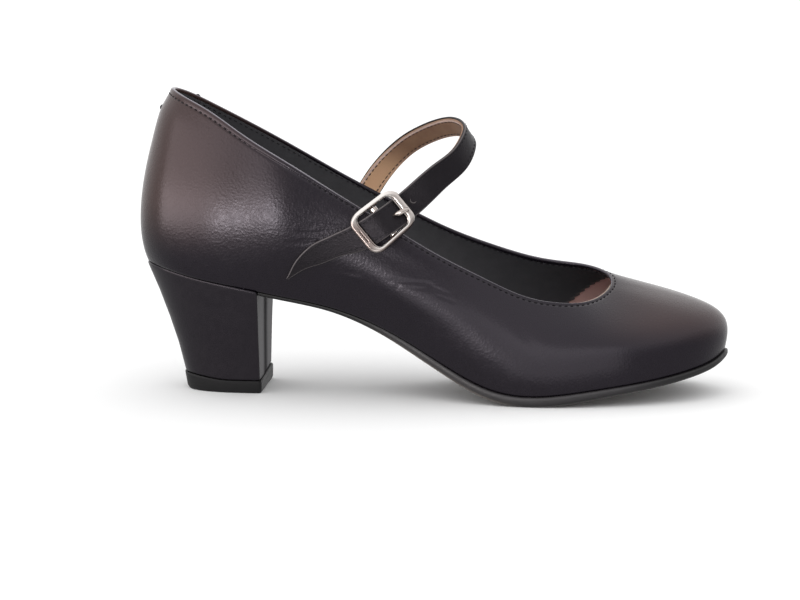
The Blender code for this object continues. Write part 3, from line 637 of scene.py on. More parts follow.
def rod(rings):
    """A shape through rings of points, with flat ends."""
    rings = np.asarray(rings)
    rows, columns = rings.shape[:2]
    points, faces = solid(rings, grid_faces(rows, columns))
    first = list(range(columns))
    return points, faces + [first[::-1], [corner + (rows - 1) * columns for corner in first]]


def together(shapes):
    """Several shapes as one."""
    points, faces, count = [], [], 0
    for some_points, some_faces in shapes:
        points.append(some_points)
        faces += [[corner + count for corner in face] for face in some_faces]
        count += len(some_points)
    return np.concatenate(points), faces


def tube(line, normals, radii, sides=8):
    """A round rod along a line. radii holds a radius for each point."""
    line = np.asarray(line, float)
    runs = unit(np.gradient(line, axis=0))
    side = unit(np.cross(runs, normals))
    rise = np.cross(side, runs)
    turns = np.linspace(0.0, 2 * math.pi, sides, endpoint=False)[None, :, None]
    radii = radii[:, None, None]
    return rod(line[:, None] + radii * np.cos(turns) * side[:, None] + radii * np.sin(turns) * rise[:, None])


def linked(name, data):
    obj = bpy.data.objects.new(name, data)
    bpy.context.scene.collection.objects.link(obj)
    return obj


def mesh_of(name, shape, sharp=None):
    points, faces = shape
    mesh = bpy.data.meshes.new(name)
    mesh.from_pydata(((points + SHIFT) * MM).tolist(), [], faces)
    mesh.validate()
    mesh.shade_smooth()
    if sharp is not None:
        mesh.set_sharp_from_angle(angle=math.radians(sharp))
    return mesh


def piece(name, shape, finish, slot, *nodes, sharp=None, **paints):
    """An object that rides on the shoe and stands for these nodes. Edges sharper than sharp, in degrees,
    stay crisp. paints are values from 0 to 1 for its points, or for all of them, that the finish reads."""
    mesh = mesh_of(name, shape, sharp)
    for key, values in paints.items():
        values = np.broadcast_to(np.ravel(values), len(mesh.vertices))
        mesh.attributes.new(key, "FLOAT", "POINT").data.foreach_set("value", np.array(values, np.float32))
    mesh.materials.append(finish)
    obj = linked(name, mesh)
    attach(obj, BODY)
    if nodes:
        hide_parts(*nodes)
    return obj


# Materials

Grain = namedtuple("Grain", "size detail stretch painted", defaults=(3.0, (1.0, 1.0, 1.0), None))
Pebbles = namedtuple("Pebbles", "size")
NOISE_RANGE = (0.3, 0.7)


def add(tree, kind, inputs, **settings):
    """A shader node with these settings, its inputs given as values or as sockets to link."""
    node = tree.nodes.new(kind)
    for key, value in settings.items():
        setattr(node, key, value)
    for key, value in inputs.items():
        if isinstance(value, bpy.types.NodeSocket):
            tree.links.new(value, node.inputs[key])
        else:
            node.inputs[key].default_value = value
    return node


def new_material(name, **constants):
    made = bpy.data.materials.new(name)
    made.use_nodes = True
    shader = made.node_tree.nodes["Principled BSDF"]
    for key, value in constants.items():
        shader.inputs[key.replace("_", " ").title().replace("Ior", "IOR")].default_value = value
    return made, made.node_tree, shader


def calculated(tree, operation, first, second):
    return add(tree, "ShaderNodeMath", {0: first, 1: second}, operation=operation).outputs["Value"]


def painted(tree, name):
    return add(tree, "ShaderNodeAttribute", {}, attribute_name=name).outputs["Fac"]


def texture(tree, grain):
    """Pebbles of leather, or soft noise that is drawn out by its stretch and weighed by a painted value."""
    place = add(tree, "ShaderNodeTexCoord", {}).outputs["Object"]
    scale = 1 / (grain.size * MM)
    if isinstance(grain, Pebbles):
        inputs = {"Vector": place, "Scale": scale, "Smoothness": 0.6, "Randomness": 1.0}
        away = add(tree, "ShaderNodeTexVoronoi", inputs, feature="SMOOTH_F1").outputs["Distance"]
        return calculated(tree, "POWER", away, 2.0)
    inputs = {"Vector": place, "Scale": [1 / part for part in grain.stretch]}
    drawn = add(tree, "ShaderNodeMapping", inputs).outputs["Vector"]
    inputs = {"Vector": drawn, "Scale": scale, "Detail": grain.detail}
    noise = add(tree, "ShaderNodeTexNoise", inputs).outputs["Fac"]
    return calculated(tree, "MULTIPLY", noise, painted(tree, grain.painted)) if grain.painted else noise


def spread(tree, value, low, high, to_low, to_high):
    """A value moved from one range to another."""
    inputs = {"Value": value, "From Min": low, "From Max": high, "To Min": to_low, "To Max": to_high}
    return add(tree, "ShaderNodeMapRange", inputs).outputs["Result"]


def blended(tree, factor, first, second):
    """One colour or the other, by a factor."""
    inputs = {0: factor, 6: (*first, 1.0) if isinstance(first, tuple) else first, 7: (*second, 1.0)}
    return add(tree, "ShaderNodeMix", inputs, data_type="RGBA").outputs[2]


def surface(name, colours, rough, relief, overlays=(), duller=None, **constants):
    """A finish. colours holds a grain and the two colours that it mottles, and rough a grain and two
    roughnesses. relief holds pairs of a grain and its depth in millimetres, and overlays pairs of a painted
    value and its colour. duller names a painted roughness that counts where it is higher."""
    made, tree, shader = new_material(name, **constants)
    grain, deep, pale = colours
    colour = blended(tree, texture(tree, grain), deep, pale)
    for value, tint in overlays:
        colour = blended(tree, painted(tree, value), colour, tint)
    grain, low, high = rough
    roughness = spread(tree, texture(tree, grain), *NOISE_RANGE, low, high)
    if duller:
        roughness = calculated(tree, "MAXIMUM", roughness, painted(tree, duller))
    below = {}
    for grain, depth in relief:
        inputs = {"Height": texture(tree, grain), "Distance": depth * MM, "Strength": 1.0, **below}
        below = {"Normal": add(tree, "ShaderNodeBump", inputs).outputs["Normal"]}
    for key, value in {"Base Color": colour, "Roughness": roughness, **below}.items():
        tree.links.new(value, shader.inputs[key])
    return made


LEATHER_TINT = (0.98, 0.90, 1.0, 1.0)
SOLE_GRAIN = Grain(1.2, 5.0, (6.0, 1.0, 1.0))
WEAVE = Grain(0.5, 2.0, (1.0, 4.0, 1.0))
TWIST = Grain(0.18, 2.0)


def upper_finish():
    return surface(
        "upper_leather",
        (Grain(14.0), (0.0050, 0.0036, 0.0066), (0.0078, 0.0058, 0.0094)),
        (Grain(2.4, 4.0), 0.23, 0.29),
        ((Pebbles(0.9), 0.036), (Grain(0.45), 0.012), (Grain(1.1, 2.0, (5.0, 1.0, 1.0), "wrinkle"), 0.14)),
        # painted sheen: a brown tint on the heel back and toe top; painted highlight: the rolled topline
        # edge paler
        (("painted_sheen", (0.058, 0.034, 0.029)), ("rim", (0.19, 0.175, 0.20))),
        specular_ior_level=0.34,
        specular_tint=LEATHER_TINT,
    )


def strap_finish():
    return surface(
        "strap_leather",
        (Grain(6.0), (0.0050, 0.0042, 0.0056), (0.0080, 0.0068, 0.0080)),
        (Grain(2.0, 4.0), 0.34, 0.46),
        ((Pebbles(0.6), 0.05), (Grain(0.3), 0.02)),
        # painted highlight along the strap's edges and on the hole rims
        (("edge", (0.11, 0.098, 0.098)),),
        specular_ior_level=0.20,
        specular_tint=LEATHER_TINT,
    )


def heel_finish():
    return surface(
        "heel_cover",
        (Grain(18.0), (0.0060, 0.0046, 0.0074), (0.0088, 0.0070, 0.0098)),
        (Grain(3.0, 4.0), 0.28, 0.38),
        ((Pebbles(0.7), 0.03), (Grain(0.3), 0.02)),
        # painted shade: the breast seam darker where its gap lies in shadow
        (("seam", (0.0015, 0.0013, 0.0016)),),
        duller="breast",
        specular_ior_level=0.33,
        specular_tint=LEATHER_TINT,
    )


def black_lining_finish():
    return surface(
        "black_lining",
        (Grain(5.0), (0.052, 0.051, 0.056), (0.076, 0.074, 0.080)),
        (Grain(1.5), 0.62, 0.80),
        ((Grain(0.5, 5.0), 0.05),),
        (("edge", (0.12, 0.11, 0.11)),),
        specular_ior_level=0.25,
    )


def tan_lining_finish(name, deep, pale, edge):
    return surface(
        name,
        (Grain(7.0, 4.0), deep, pale),
        (Grain(1.5), 0.45, 0.62),
        ((Grain(0.45, 4.0), 0.05), (Grain(4.0, 2.0), 0.10)),
        # painted highlight: the strap lining paler towards its root end
        (("painted_highlight", (0.87, 0.53, 0.32)), ("edge", edge)),
        specular_ior_level=0.3,
    )


def sole_finish():
    return surface(
        "sole_leather",
        (SOLE_GRAIN, (0.020, 0.018, 0.020), (0.034, 0.030, 0.033)),
        (Grain(2.0, 4.0), 0.40, 0.56),
        ((SOLE_GRAIN, 0.05), (Grain(0.4), 0.03)),
        (
            # paler low on the edge behind the ball; darker edge: black at the waist, towards the bottom
            # forwards of the ball, and at the toe
            ("edge", (0.14, 0.12, 0.105)),
            ("tread", (0.058, 0.050, 0.046)),
            ("dark_edge", (0.0040, 0.0035, 0.0040)),
        ),
        specular_ior_level=0.4,
    )


def rubber_finish():
    return surface(
        "top_lift_rubber",
        (Grain(1.0, 5.0), (0.007, 0.007, 0.008), (0.014, 0.013, 0.014)),
        (Grain(1.0), 0.48, 0.62),
        ((Grain(0.3), 0.03),),
        specular_ior_level=0.2,
    )


def metal_finish(name, deep, pale):
    """Satin metal, with shade painted darker and browner where a mesh is painted so, as on the frame's end
    bars.
    """
    return surface(
        name,
        (Grain(3.0), deep, pale),
        (Grain(0.8, 4.0), 0.22, 0.28),
        ((Grain(0.9), 0.003),),
        # painted shade: darker and browner where the mesh is painted
        (("dull", (0.25, 0.205, 0.19)),),
        metallic=1.0,
    )


def elastic_finish():
    return surface(
        "elastic",
        (WEAVE, (0.008, 0.008, 0.009), (0.026, 0.025, 0.027)),
        (WEAVE, 0.70, 0.90),
        ((WEAVE, 0.08),),
        specular_ior_level=0.2,
    )


def thread_finish():
    return surface(
        "thread",
        (TWIST, (0.006, 0.005, 0.007), (0.013, 0.011, 0.014)),
        (TWIST, 0.45, 0.65),
        ((TWIST, 0.05),),
        specular_ior_level=0.2,
    )


# The upper's leather


def crease_relief(points):
    total = np.zeros(points.shape[:-1])
    for row in CREASES:
        turn = math.radians(row.angle)
        ahead, above = points[..., 0] - row.x, points[..., 2] - row.z
        along = ahead * math.cos(turn) + above * math.sin(turn)
        aside = above * math.cos(turn) - ahead * math.sin(turn)
        reach = np.exp(-((2 * along / row.length) ** 4)) * bell(aside, row.width)
        total += np.where(points[..., 1] * row.side > 0, row.height * reach, 0.0)
    return total


def stitch_depth(shares):
    """How far below the topline the stitches run: closer to it from the buckle forwards."""
    back, front = STITCH_DEPTHS
    return back + (front - back) * ease(RING(shares)[..., TOP_X], *STITCH_CLIMBS)


def seam_relief(shares, depths):
    """The dip along the topline's stitches, the fold above it, the back seam and the pinch over the heel."""
    sewn = stitch_depth(shares)
    dip = -SEAM_DIP * bell(depths - sewn, SEAM_WIDTH)
    fold = FOLD_RISE * bell(depths - sewn / 2, FOLD_WIDTH)
    round_back = np.minimum(shares, 1 - shares) * travel(RING(np.linspace(0, 1, 400))[:, TOPLINE])[-1]
    back_seam = -BACK_SEAM_DIP * bell(round_back, BACK_SEAM_WIDTH) * ease(depths, *BACK_SEAM_STARTS)
    width = np.where(depths < TUCK_DEPTH, TUCK_ABOVE, TUCK_BELOW)
    tuck = TUCK_RISE * bell(depths - TUCK_DEPTH, width) * bell(round_back, TUCK_ROUND)
    return dip + fold + back_seam + tuck


def painted_sheen(points):
    """Where a brown tint is painted as the warm sheen on the leather."""
    x, z = points[..., 0], points[..., 2]
    shares = [row.share * ease(row.towards * x, *row.x) * ease(z, *row.z) for row in SHEEN_TINTS]
    return np.clip(sum(shares), 0.0, 1.0)


def wrinkled(points):
    """Where the lateral wall is finely wrinkled."""
    x, y, z = points[..., 0], points[..., 1], points[..., 2]
    shares = [
        row.share * bell(x - row.x, row.half_length) * bell(z - row.z, row.half_height) for row in WRINKLES
    ]
    return np.where(y < 0, np.clip(sum(shares), 0.0, 1.0), 0.0)


def rim_highlight(turns, x):
    """How pale the topline's rolled edge is painted, as a highlight on its outer half, most behind the
    buckle.
    """
    across = ease(turns, *RIM_STARTS) * (1 - ease(turns, *RIM_ENDS))
    return across * (RIM_LEAST + (1 - RIM_LEAST) * (1 - ease(x, *RIM_FADES)))


def upper_leather(finish):
    """A shell of leather from the lasting margin up the outside, over the folded topline and down again."""
    shares = np.arange(UPPER_COLUMNS) / UPPER_COLUMNS
    whole = wall_heights(shares)[None, :, -1]
    coarse = FINE_DEPTH + (whole - FINE_DEPTH) * np.linspace(1.0, 0.0, FACE_ROWS, endpoint=False)[:, None]
    fine = np.linspace(FINE_DEPTH, EDGE_RADIUS, FINE_ROWS)[:, None] * np.ones(UPPER_COLUMNS)
    depths = np.concatenate([coarse, fine])
    face, normals = below_topline(shares, depths)
    face = face + normals * (seam_relief(shares[None], depths) + crease_relief(face))[..., None]
    out = normals[-1]
    climb = unit(face[-1] - face[-2])
    centre = face[-1] - out * EDGE_RADIUS
    turns = np.linspace(0.0, math.pi, ROLL_STEPS)[1:]
    rolled = [centre + EDGE_RADIUS * (math.cos(turn) * out + math.sin(turn) * climb) for turn in turns]
    lip = [rolled[-1] - climb * step for step in (0.45, LIP_DEPTH - EDGE_RADIUS)]
    shelf = lip[-1] + out * (WALL - LEATHER)
    back_depths = LIP_DEPTH + (whole - LIP_DEPTH) * np.linspace(0.0, 1.0, BACK_ROWS)[1:, None]
    back, back_normals = below_topline(shares, back_depths)
    away = outward(ring_run(shares)[:, FEATHER])
    margin = [face[0] - away * step - UP * MARGIN_DROP for step in MARGIN_STEPS]
    rows = np.concatenate([margin, face, rolled, lip, shelf[None], back - LEATHER * back_normals])
    # painted highlight: the rolled topline edge paler on its outer half
    painted_highlight = np.zeros(rows.shape[:2])
    first = len(margin) + len(face)
    painted_highlight[first:first + len(turns)] = rim_highlight(turns[:, None], rolled[0][:, 0])
    shape = solid(rows, grid_faces(len(rows), UPPER_COLUMNS, closed_rows=True))
    paints = {"painted_sheen": painted_sheen(rows), "wrinkle": wrinkled(rows), "rim": painted_highlight}
    piece("upper_leather", shape, finish, "upper_leather", "upper", **paints)


# The linings


def closed_sheet(outer, inner):
    """A closed shape between two grids of the same points."""
    rows, columns = outer.shape[:2]
    index = np.arange(rows * columns).reshape(rows, columns)
    faces = grid_faces(rows, columns, closed_columns=False).tolist()
    faces += [[corner + index.size for corner in reversed(face)] for face in faces]
    rim = np.concatenate([index[0, :-1], index[:-1, -1], index[-1, :0:-1], index[:0:-1, 0]])
    ahead = np.roll(rim, -1)
    faces += np.stack([ahead, rim, rim + index.size, ahead + index.size], axis=1).tolist()
    return np.concatenate([outer.reshape(-1, 3), inner.reshape(-1, 3)]), faces


def lining_grid(start, end, columns, depths, layer):
    """A shell between shares that may change with depth."""
    shares = start[:, None] + (end - start)[:, None] * np.linspace(0.0, 1.0, columns)[None]
    table_shares = np.linspace(shares.min(), shares.max(), 400)
    heights = wall_heights(np.mod(table_shares, 1.0))
    whole = np.interp(shares, table_shares, heights[:, -1])
    grid = np.minimum(depths[:, None] * np.ones_like(shares), whole - LINING_FOOT_GAP)
    nearest = np.clip(np.searchsorted(table_shares, shares), 0, len(table_shares) - 1)
    rises = np.empty_like(shares)
    for place, row in np.ndenumerate(nearest):
        rises[place] = np.interp(grid[place], heights[row], RISES[::-1])
    face = upper_surface(shares, rises)
    normals = upper_normal(shares, rises)
    return closed_sheet(face - layer[1] * normals, face - layer[0] * normals)


def quarter_lining(finish):
    """The black lining round the heel and sides, its front edges pinked where it overlaps the tan one."""
    depths = np.concatenate([np.linspace(LIP_DEPTH - 0.1, 40.0, 120), np.linspace(42.0, 80.0, 16)])
    teeth = TOOTH_HEIGHT * np.abs(np.mod(depths / TOOTH_PITCH, 1.0) - 0.5) * 2
    edge_x = np.maximum(LINING_MEETS_X - LINING_SLANT * depths + teeth, LINING_STOPS_X)
    lateral, medial = share_at(edge_x, -1), share_at(edge_x, 1)
    shape = lining_grid(medial - 1.0, lateral, QUARTER_COLUMNS, depths, BLACK_LAYER)
    ends = np.zeros(QUARTER_COLUMNS)
    ends[[0, 1, -2, -1]] = 1.0
    piece("quarter_lining", shape, finish, "black_lining", sharp=50, edge=np.tile(ends, 2 * len(depths)))


def vamp_lining(finish):
    """The tan lining of the forepart, from behind the black lining's edge round the toe."""
    depths = np.linspace(LIP_DEPTH - 0.5, 75.0, 70)
    start, end = (np.full_like(depths, share_at(VAMP_STARTS_X, side)) for side in (-1, 1))
    shape = lining_grid(start, end, VAMP_COLUMNS, depths, TAN_LAYER)
    piece("vamp_lining", shape, finish, "tan_lining", sharp=50, edge=0.0)


def raw_edge(finish):
    """The cut edge of the tan lining, which shows just above the lateral topline by the throat."""
    shares = np.linspace(*share_at(np.array(RAW_EDGE), -1), 80)
    top = upper_surface(shares, 1.0)
    climb = unit(top - upper_surface(shares, 0.98))
    normals = upper_normal(shares, 0.999)
    fade = np.sin(np.linspace(0.0, math.pi, len(shares))) ** 0.5
    rings = []
    for offset, rise in RAW_SECTION:
        rings.append(top - offset * normals + climb * (rise * np.where(rise > 0, fade, 1.0))[:, None])
    piece("vamp_lining_edge", rod(np.stack(rings, axis=1)), finish, "tan_lining", sharp=40, edge=1.0)


# Stitches


def read_along(place, far, values):
    return np.stack([np.interp(place, far, values[:, column]) for column in range(3)], axis=1)


def stitch_row(line, normals, pitch=STITCH_PITCH, length=STITCH_LENGTH, radius=THREAD_RADIUS):
    """Short stitches along a line, each rising out of its hole and going down again."""
    far = travel(line)
    parts = np.linspace(0.0, 1.0, 7)
    lift = radius * (1.5 * np.sin(math.pi * parts) ** 0.7 - 0.9)
    radii = radius * (0.55 + 0.45 * np.sin(math.pi * parts) ** 0.5)
    shapes = []
    for start in np.arange(0.4, far[-1] - length, pitch):
        place = start + length * parts
        away = unit(read_along(place, far, normals))
        shapes.append(tube(read_along(place, far, line) + away * lift[:, None], away, radii, sides=6))
    return shapes


def topline_stitches(finish):
    shares = np.linspace(0.002, 0.998, 1400)
    (line,), (normals,) = below_topline(shares, stitch_depth(shares)[None])
    outside = stitch_row(line - THREAD_SINK * normals, normals)
    behind = line - (BLACK_LAYER[1] - INNER_THREAD_SINK) * normals
    inside = stitch_row(behind, -normals, radius=INNER_THREAD_RADIUS)
    piece("topline_stitches", together(outside + inside), finish, "thread")


def knot(share, depth, size):
    """A little lump of thread on the upper."""
    ((point,),), ((normal,),) = below_topline(np.array([share]), np.array([[depth]]))
    line = point + np.linspace(-0.4, 1.0, 9)[:, None] * size * normal
    radii = size * np.sqrt(np.clip(1 - np.linspace(-0.4, 0.98, 9) ** 2, 0.02, 1.0))
    return tube(line, np.tile(UP, (9, 1)), radii, sides=12)


def thread_ends(finish):
    """The tied ends of the topline's thread: on the back seam and on the medial topline."""
    piece("thread_ends", together([knot(*row) for row in THREAD_KNOTS]), finish, "thread")


# The insole, sole, heel and top lift


def insole_sock(finish):
    """The sheet that the foot stands on, with a soft edge."""
    margin = -(WALL + 2 * GAP)
    first = RING(0.0)[0] - margin
    last = RING(TOE_SHARE)[0] + margin
    stations = first + (last - first) * (1 - np.cos(np.linspace(0.02, 0.985, 150) * math.pi)) / 2
    parts = np.linspace(0.0, 1.0, 25)
    edge = 1 - np.clip(np.sin(math.pi * parts) * INSOLE_EDGE_SHARE, 0, 1)
    height = INSOLE_THICKNESS - INSOLE_EDGE_DROP * edge**2
    rings = []
    for x in stations:
        lateral, medial = feather_edges(x, margin)
        below = lateral + (medial - lateral) * parts[:, None]
        rings.append(np.concatenate([below, (below + UP * height[:, None])[::-1]]))
    piece("insole_sock", rod(np.array(rings)[:, ::-1]), finish, "black_lining", "insole", sharp=60)


def sole_thickness(x):
    thickening = (SOLE_THICKNESS - WAIST_THICKNESS) * ease(x, *WAIST_THICKENS)
    return WAIST_THICKNESS + thickening - (SOLE_THICKNESS - TOE_THICKNESS) * ease(x, *TOE_THINS)


def sole_spread(x):
    """How far the sole's edge stands out from the feather edge: tucked in under the waist."""
    return -WAIST_TUCK + (SOLE_MARGIN + WAIST_TUCK) * ease(x, *WAIST_SPREADS)


def sole_paints(x):
    """The sole's tread, a paler band low on its edge behind the ball, and its darker edge: inked black at
    the waist, and darker on its lower half forwards of the ball and at the toe.
    """
    insets, levels = np.array(SOLE_EDGE).T
    tread = np.outer(ease(insets, *TREAD_INSETS) * (levels > TREAD_DEPTH), np.ones(len(x)))
    pale_band = ease(levels, *PALE_BAND_DEPTHS) * (1 - ease(insets, *PALE_BAND_INSETS))
    low = LOW_DARK * np.outer(ease(levels, *LOW_DARK_DEPTHS), ease(x, *LOW_DARK_STARTS_X))
    forepart = np.maximum(low, TOE_DARK * ease(x, *TOE_DARK_STARTS_X))
    along = np.maximum(1 - ease(x, *WAIST_DARK_ENDS_X), forepart)
    dark_edge = (1 - ease(insets, *DARK_EDGE_INSETS))[:, None] * along
    return {"tread": tread, "edge": np.outer(pale_band, 1 - ease(x, *PALE_BAND_ENDS_X)), "dark_edge": dark_edge}


def outsole(finish):
    """The leather sole: its edge in section is run round the outline, and the middle is filled across."""
    half = 260
    shares = np.linspace(0.0, 1.0, 6000)
    front = shares[RING(shares)[:, 0] > HEEL_LEVELS[0].breast_x + GAP]
    first, second = (np.linspace(front[end], TOE_SHARE, half, endpoint=False) for end in (0, -1))
    loop = np.concatenate([first, [TOE_SHARE], second[::-1]])
    edge = RING(loop)[:, FEATHER]
    away = outward(ring_run(loop)[:, FEATHER])
    x = edge[:, 0]
    rim = edge + away * sole_spread(x)[:, None] - UP * GAP
    width = np.abs(rim[:, 1] - rim[::-1, 1]) / 2
    rows = []
    for corner in SOLE_EDGE:
        rounder = TOE_ROUNDER * ease(x, *TOE_ROUNDS) * max(0.0, corner.depth - 0.3) ** 2
        inset = np.minimum(corner.inset + rounder, np.maximum(0.9 * width, TIP_INSET))
        point = rim - away * inset[:, None] - UP * (corner.depth * sole_thickness(x))[:, None]
        point[:, 2] = np.maximum(point[:, 2], 0.0)
        rows.append(point)
    count = len(loop)
    points, faces = solid(rows, grid_faces(len(rows), count, closed_columns=False)[:, ::-1])
    under = (len(rows) - 1) * count
    for i in range(half):
        j = count - 1 - i
        faces.append([i, i + 1, j - 1, j])
        faces.append([under + j, under + j - 1, under + i + 1, under + i])
    ends = [row * count for row in range(len(rows))]
    faces.append(ends + [end + count - 1 for end in reversed(ends)])
    piece("outsole_leather", (points, faces), finish, "sole_leather", "outsole", sharp=50, **sole_paints(x))


def heel_ring(level):
    """A level of the heel, from the middle of its flat breast by the lateral side round to its start."""
    wide, corner, power = level.half_width, HEEL_CORNER, 2 / level.squareness
    flat = np.concatenate([np.linspace(0.0, 6.0, 13), np.linspace(7.0, wide - corner, 8)[:-1]])
    turns = np.linspace(0.0, math.pi / 2, 9)
    sweep = np.linspace(0.0, math.pi / 2, HEEL_SIDE_POINTS)[1:]
    depth = level.breast_x - level.back_x - corner
    corner_x = level.breast_x - corner * (1 - np.cos(turns))
    corner_y = -(wide - corner * (1 - np.sin(turns)))
    side_x = level.breast_x - corner - depth * np.sin(sweep) ** power
    side_y = -wide * np.clip(np.cos(sweep), 0.0, 1.0) ** power
    side_y[-1] = 0.0
    x = np.concatenate([np.full(len(flat), level.breast_x), corner_x, side_x])
    half = np.stack([x, np.concatenate([-flat, corner_y, side_y])], axis=1)
    return np.concatenate([half, half[-2:0:-1] * (1, -1)])


def heel_level(depth):
    columns = zip(*HEEL_LEVELS)
    depths = next(columns)
    return HeelLevel(depth, *(float(np.interp(depth, depths, column)) for column in columns))


def seat_height(x, y):
    lateral, medial = feather_edges(max(x, RING(0.0)[0] + GAP), 0.0)
    part = np.clip((y - lateral[1]) / (medial[1] - lateral[1]), 0.0, 1.0)
    return lateral[2] + (medial[2] - lateral[2]) * part - GAP


def lift_height(x, y):
    """How thick the top lift is: thicker at its back and on its medial side."""
    back = LIFT_BACK_RISE * ease(-x, *LIFT_BACK_GROWS)
    return TOP_LIFT_THICKNESS + back + LIFT_MEDIAL_RISE * ease(y, *LIFT_MEDIAL_GROWS)


def zip_faces(first, count):
    """Faces across a ring that is alike on both sides of its first point."""
    ring = [first + i for i in range(count)]
    half = count // 2
    faces = [[ring[0], ring[1], ring[-1]]]
    for i in range(1, half - 1):
        faces.append([ring[i], ring[i + 1], ring[count - i - 1], ring[count - i]])
    faces.append([ring[half - 1], ring[half], ring[half + 1]])
    return faces


def stacked(rings):
    """A shape through level rings from the top down, closed across its ends."""
    rings = np.asarray(rings)
    rows, count = rings.shape[:2]
    points, faces = solid(rings, grid_faces(rows, count))
    faces += [face[::-1] for face in zip_faces(0, count)]
    return points, faces + zip_faces((rows - 1) * count, count)


def heel_cover(finish):
    """The heel in its leather: rounded at the seat, with the cover's ends meeting down the breast."""
    seat = np.array([seat_height(x, y) for x, y in heel_ring(HEEL_LEVELS[0])])
    foot = lift_height(*heel_ring(HEEL_LEVELS[-1]).T) + GAP
    plain = [(depth, 0.0) for depth in np.linspace(*PLAIN_DEPTHS)]
    rings, seams, breasts = [], [], []
    for depth, inset in (*SEAT_EDGE, *plain, *FOOT_EDGE):
        outline = heel_ring(heel_level(depth))
        outline = outline + unit(np.array(HEEL_CENTRE) - outline) * inset
        on_breast = outline[:, 0] > HEEL_LEVELS[0].breast_x - 1.0
        # the breast seam: its groove, its duller roughness and its painted shade
        seam = bell(outline[:, 1], BREAST_SEAM_WIDTH) * on_breast
        seams.append(seam)
        breasts.append((BREAST_ROUGHNESS + (SEAM_ROUGHNESS - BREAST_ROUGHNESS) * seam) * on_breast)
        outline[:, 0] -= BREAST_SEAM_DEPTH * seam
        rings.append(np.column_stack([outline, seat + (foot - seat) * depth]))
    paints = {"seam": seams, "breast": breasts}
    piece("heel_cover", stacked(rings), finish, "heel_cover", "heel", sharp=50, **paints)


def top_lift(finish):
    foot = HEEL_LEVELS[-1]
    rings = []
    for row in TOP_LIFT_LEVELS:
        level = foot._replace(
            back_x=foot.back_x - row.back,
            breast_x=foot.breast_x + row.front,
            half_width=foot.half_width + row.side,
        )
        outline = heel_ring(level)
        height = row.z / TOP_LIFT_THICKNESS * lift_height(*outline.T)
        rings.append(np.column_stack([outline, height]))
    piece("top_lift", stacked(rings), finish, "top_lift", "heel_top_lift", sharp=35)


# The strap and buckle


class BuckleAxes:
    """The buckle's own axes on the lateral wall: along to the tail, across to the sole, and out."""

    def __init__(self):
        topline = RING(side_shares(-1, 400))[:, TOPLINE]
        height = np.interp(BUCKLE_X, topline[:, 0], topline[:, 2])
        self.origin, self.out = on_wall(BUCKLE_X, height - BUCKLE_DROP, -1)
        slope = math.radians(BUCKLE_SLOPE)
        along = np.array([-math.cos(slope), 0.0, -math.sin(slope)])
        self.along = unit(along - self.out * (along @ self.out))
        self.across = np.cross(self.out, self.along)

    def at(self, along, across, out):
        return self.origin + along * self.along + across * self.across + out * self.out


def wall_rows(table, side):
    """Route rows of the strap on a wall: centre, width direction and half-widths."""
    rows = []
    for row in table:
        point, normal = on_wall(row.x, row.z, side)
        pitch = math.radians(row.pitch)
        width = np.array([math.cos(pitch), 0.0, -math.sin(pitch)])
        width = unit(width - normal * (width @ normal))
        rows.append((*(point + row.proud * normal), *width, row.above, row.below))
    return rows


def strap_rows(axes):
    half = STRAP_WIDTH / 2
    rows = wall_rows(STRAP_ROOT, 1)
    for row in STRAP_ARCH:
        pitch = math.radians(row.pitch)
        width = unit(np.array([math.cos(pitch), row.lean, -math.sin(pitch)]))
        rows.append((row.x, row.y, row.z, *width, row.half_width, row.half_width))
    for row in STRAP_WEAVE:
        rows.append((*axes.at(row.along, row.across, row.out), *axes.across, half, half))
    return rows + wall_rows(STRAP_TAIL, -1)


class StrapRoute:
    """The strap's line with its width and depth directions; depth points to the foot."""

    def __init__(self, axes, count):
        route = open_spline(strap_rows(axes), count)
        self.centre = route[:, 0:3]
        self.run = unit(np.gradient(self.centre, axis=0))
        width = route[:, 3:6]
        self.width = unit(width - self.run * np.sum(width * self.run, axis=1, keepdims=True))
        self.depth = unit(np.cross(self.width, self.run))
        self.above = route[:, 6]
        self.below = route[:, 7]

    def layer(self, top, bottom, inset, rounding):
        """Rings of one layer of the strap between two depths, with its edges rounded."""
        turns = np.linspace(0.0, math.pi / 2, ROUND_STEPS)
        level = np.zeros(len(FLAT_PARTS))
        rings = []
        for i in range(len(self.centre)):
            high = -max(self.above[i] - inset, TIP_HALF)
            low = max(self.below[i] - inset, TIP_HALF)
            radius = min(rounding, (low - high) / 4)
            near = radius * (1 - np.sin(turns))
            down = radius * (1 - np.cos(turns))
            flat = high + radius + (low - high - 2 * radius) * FLAT_PARTS
            across = [flat, low - near, low - near[::-1], flat[::-1], high + near, high + near[::-1]]
            out = [level + top, top + down, bottom - down[::-1]]
            out += [level + bottom, bottom - down, top + down[::-1]]
            across, out = np.concatenate(across), np.concatenate(out)
            ring = self.centre[i] + across[:, None] * self.width[i] + out[:, None] * self.depth[i]
            rings.append(ring)
        return np.array(rings)


def hole_place(place):
    """How far across the buckle and out from the wall the strap's middle lies at a hole."""
    across = np.interp(place, [row.along for row in STRAP_WEAVE], [row.across for row in STRAP_WEAVE])
    _, over, under = STRAP_WEAVE
    return across, over.out + (under.out - over.out) * ease(abs(place), over.along, under.along)


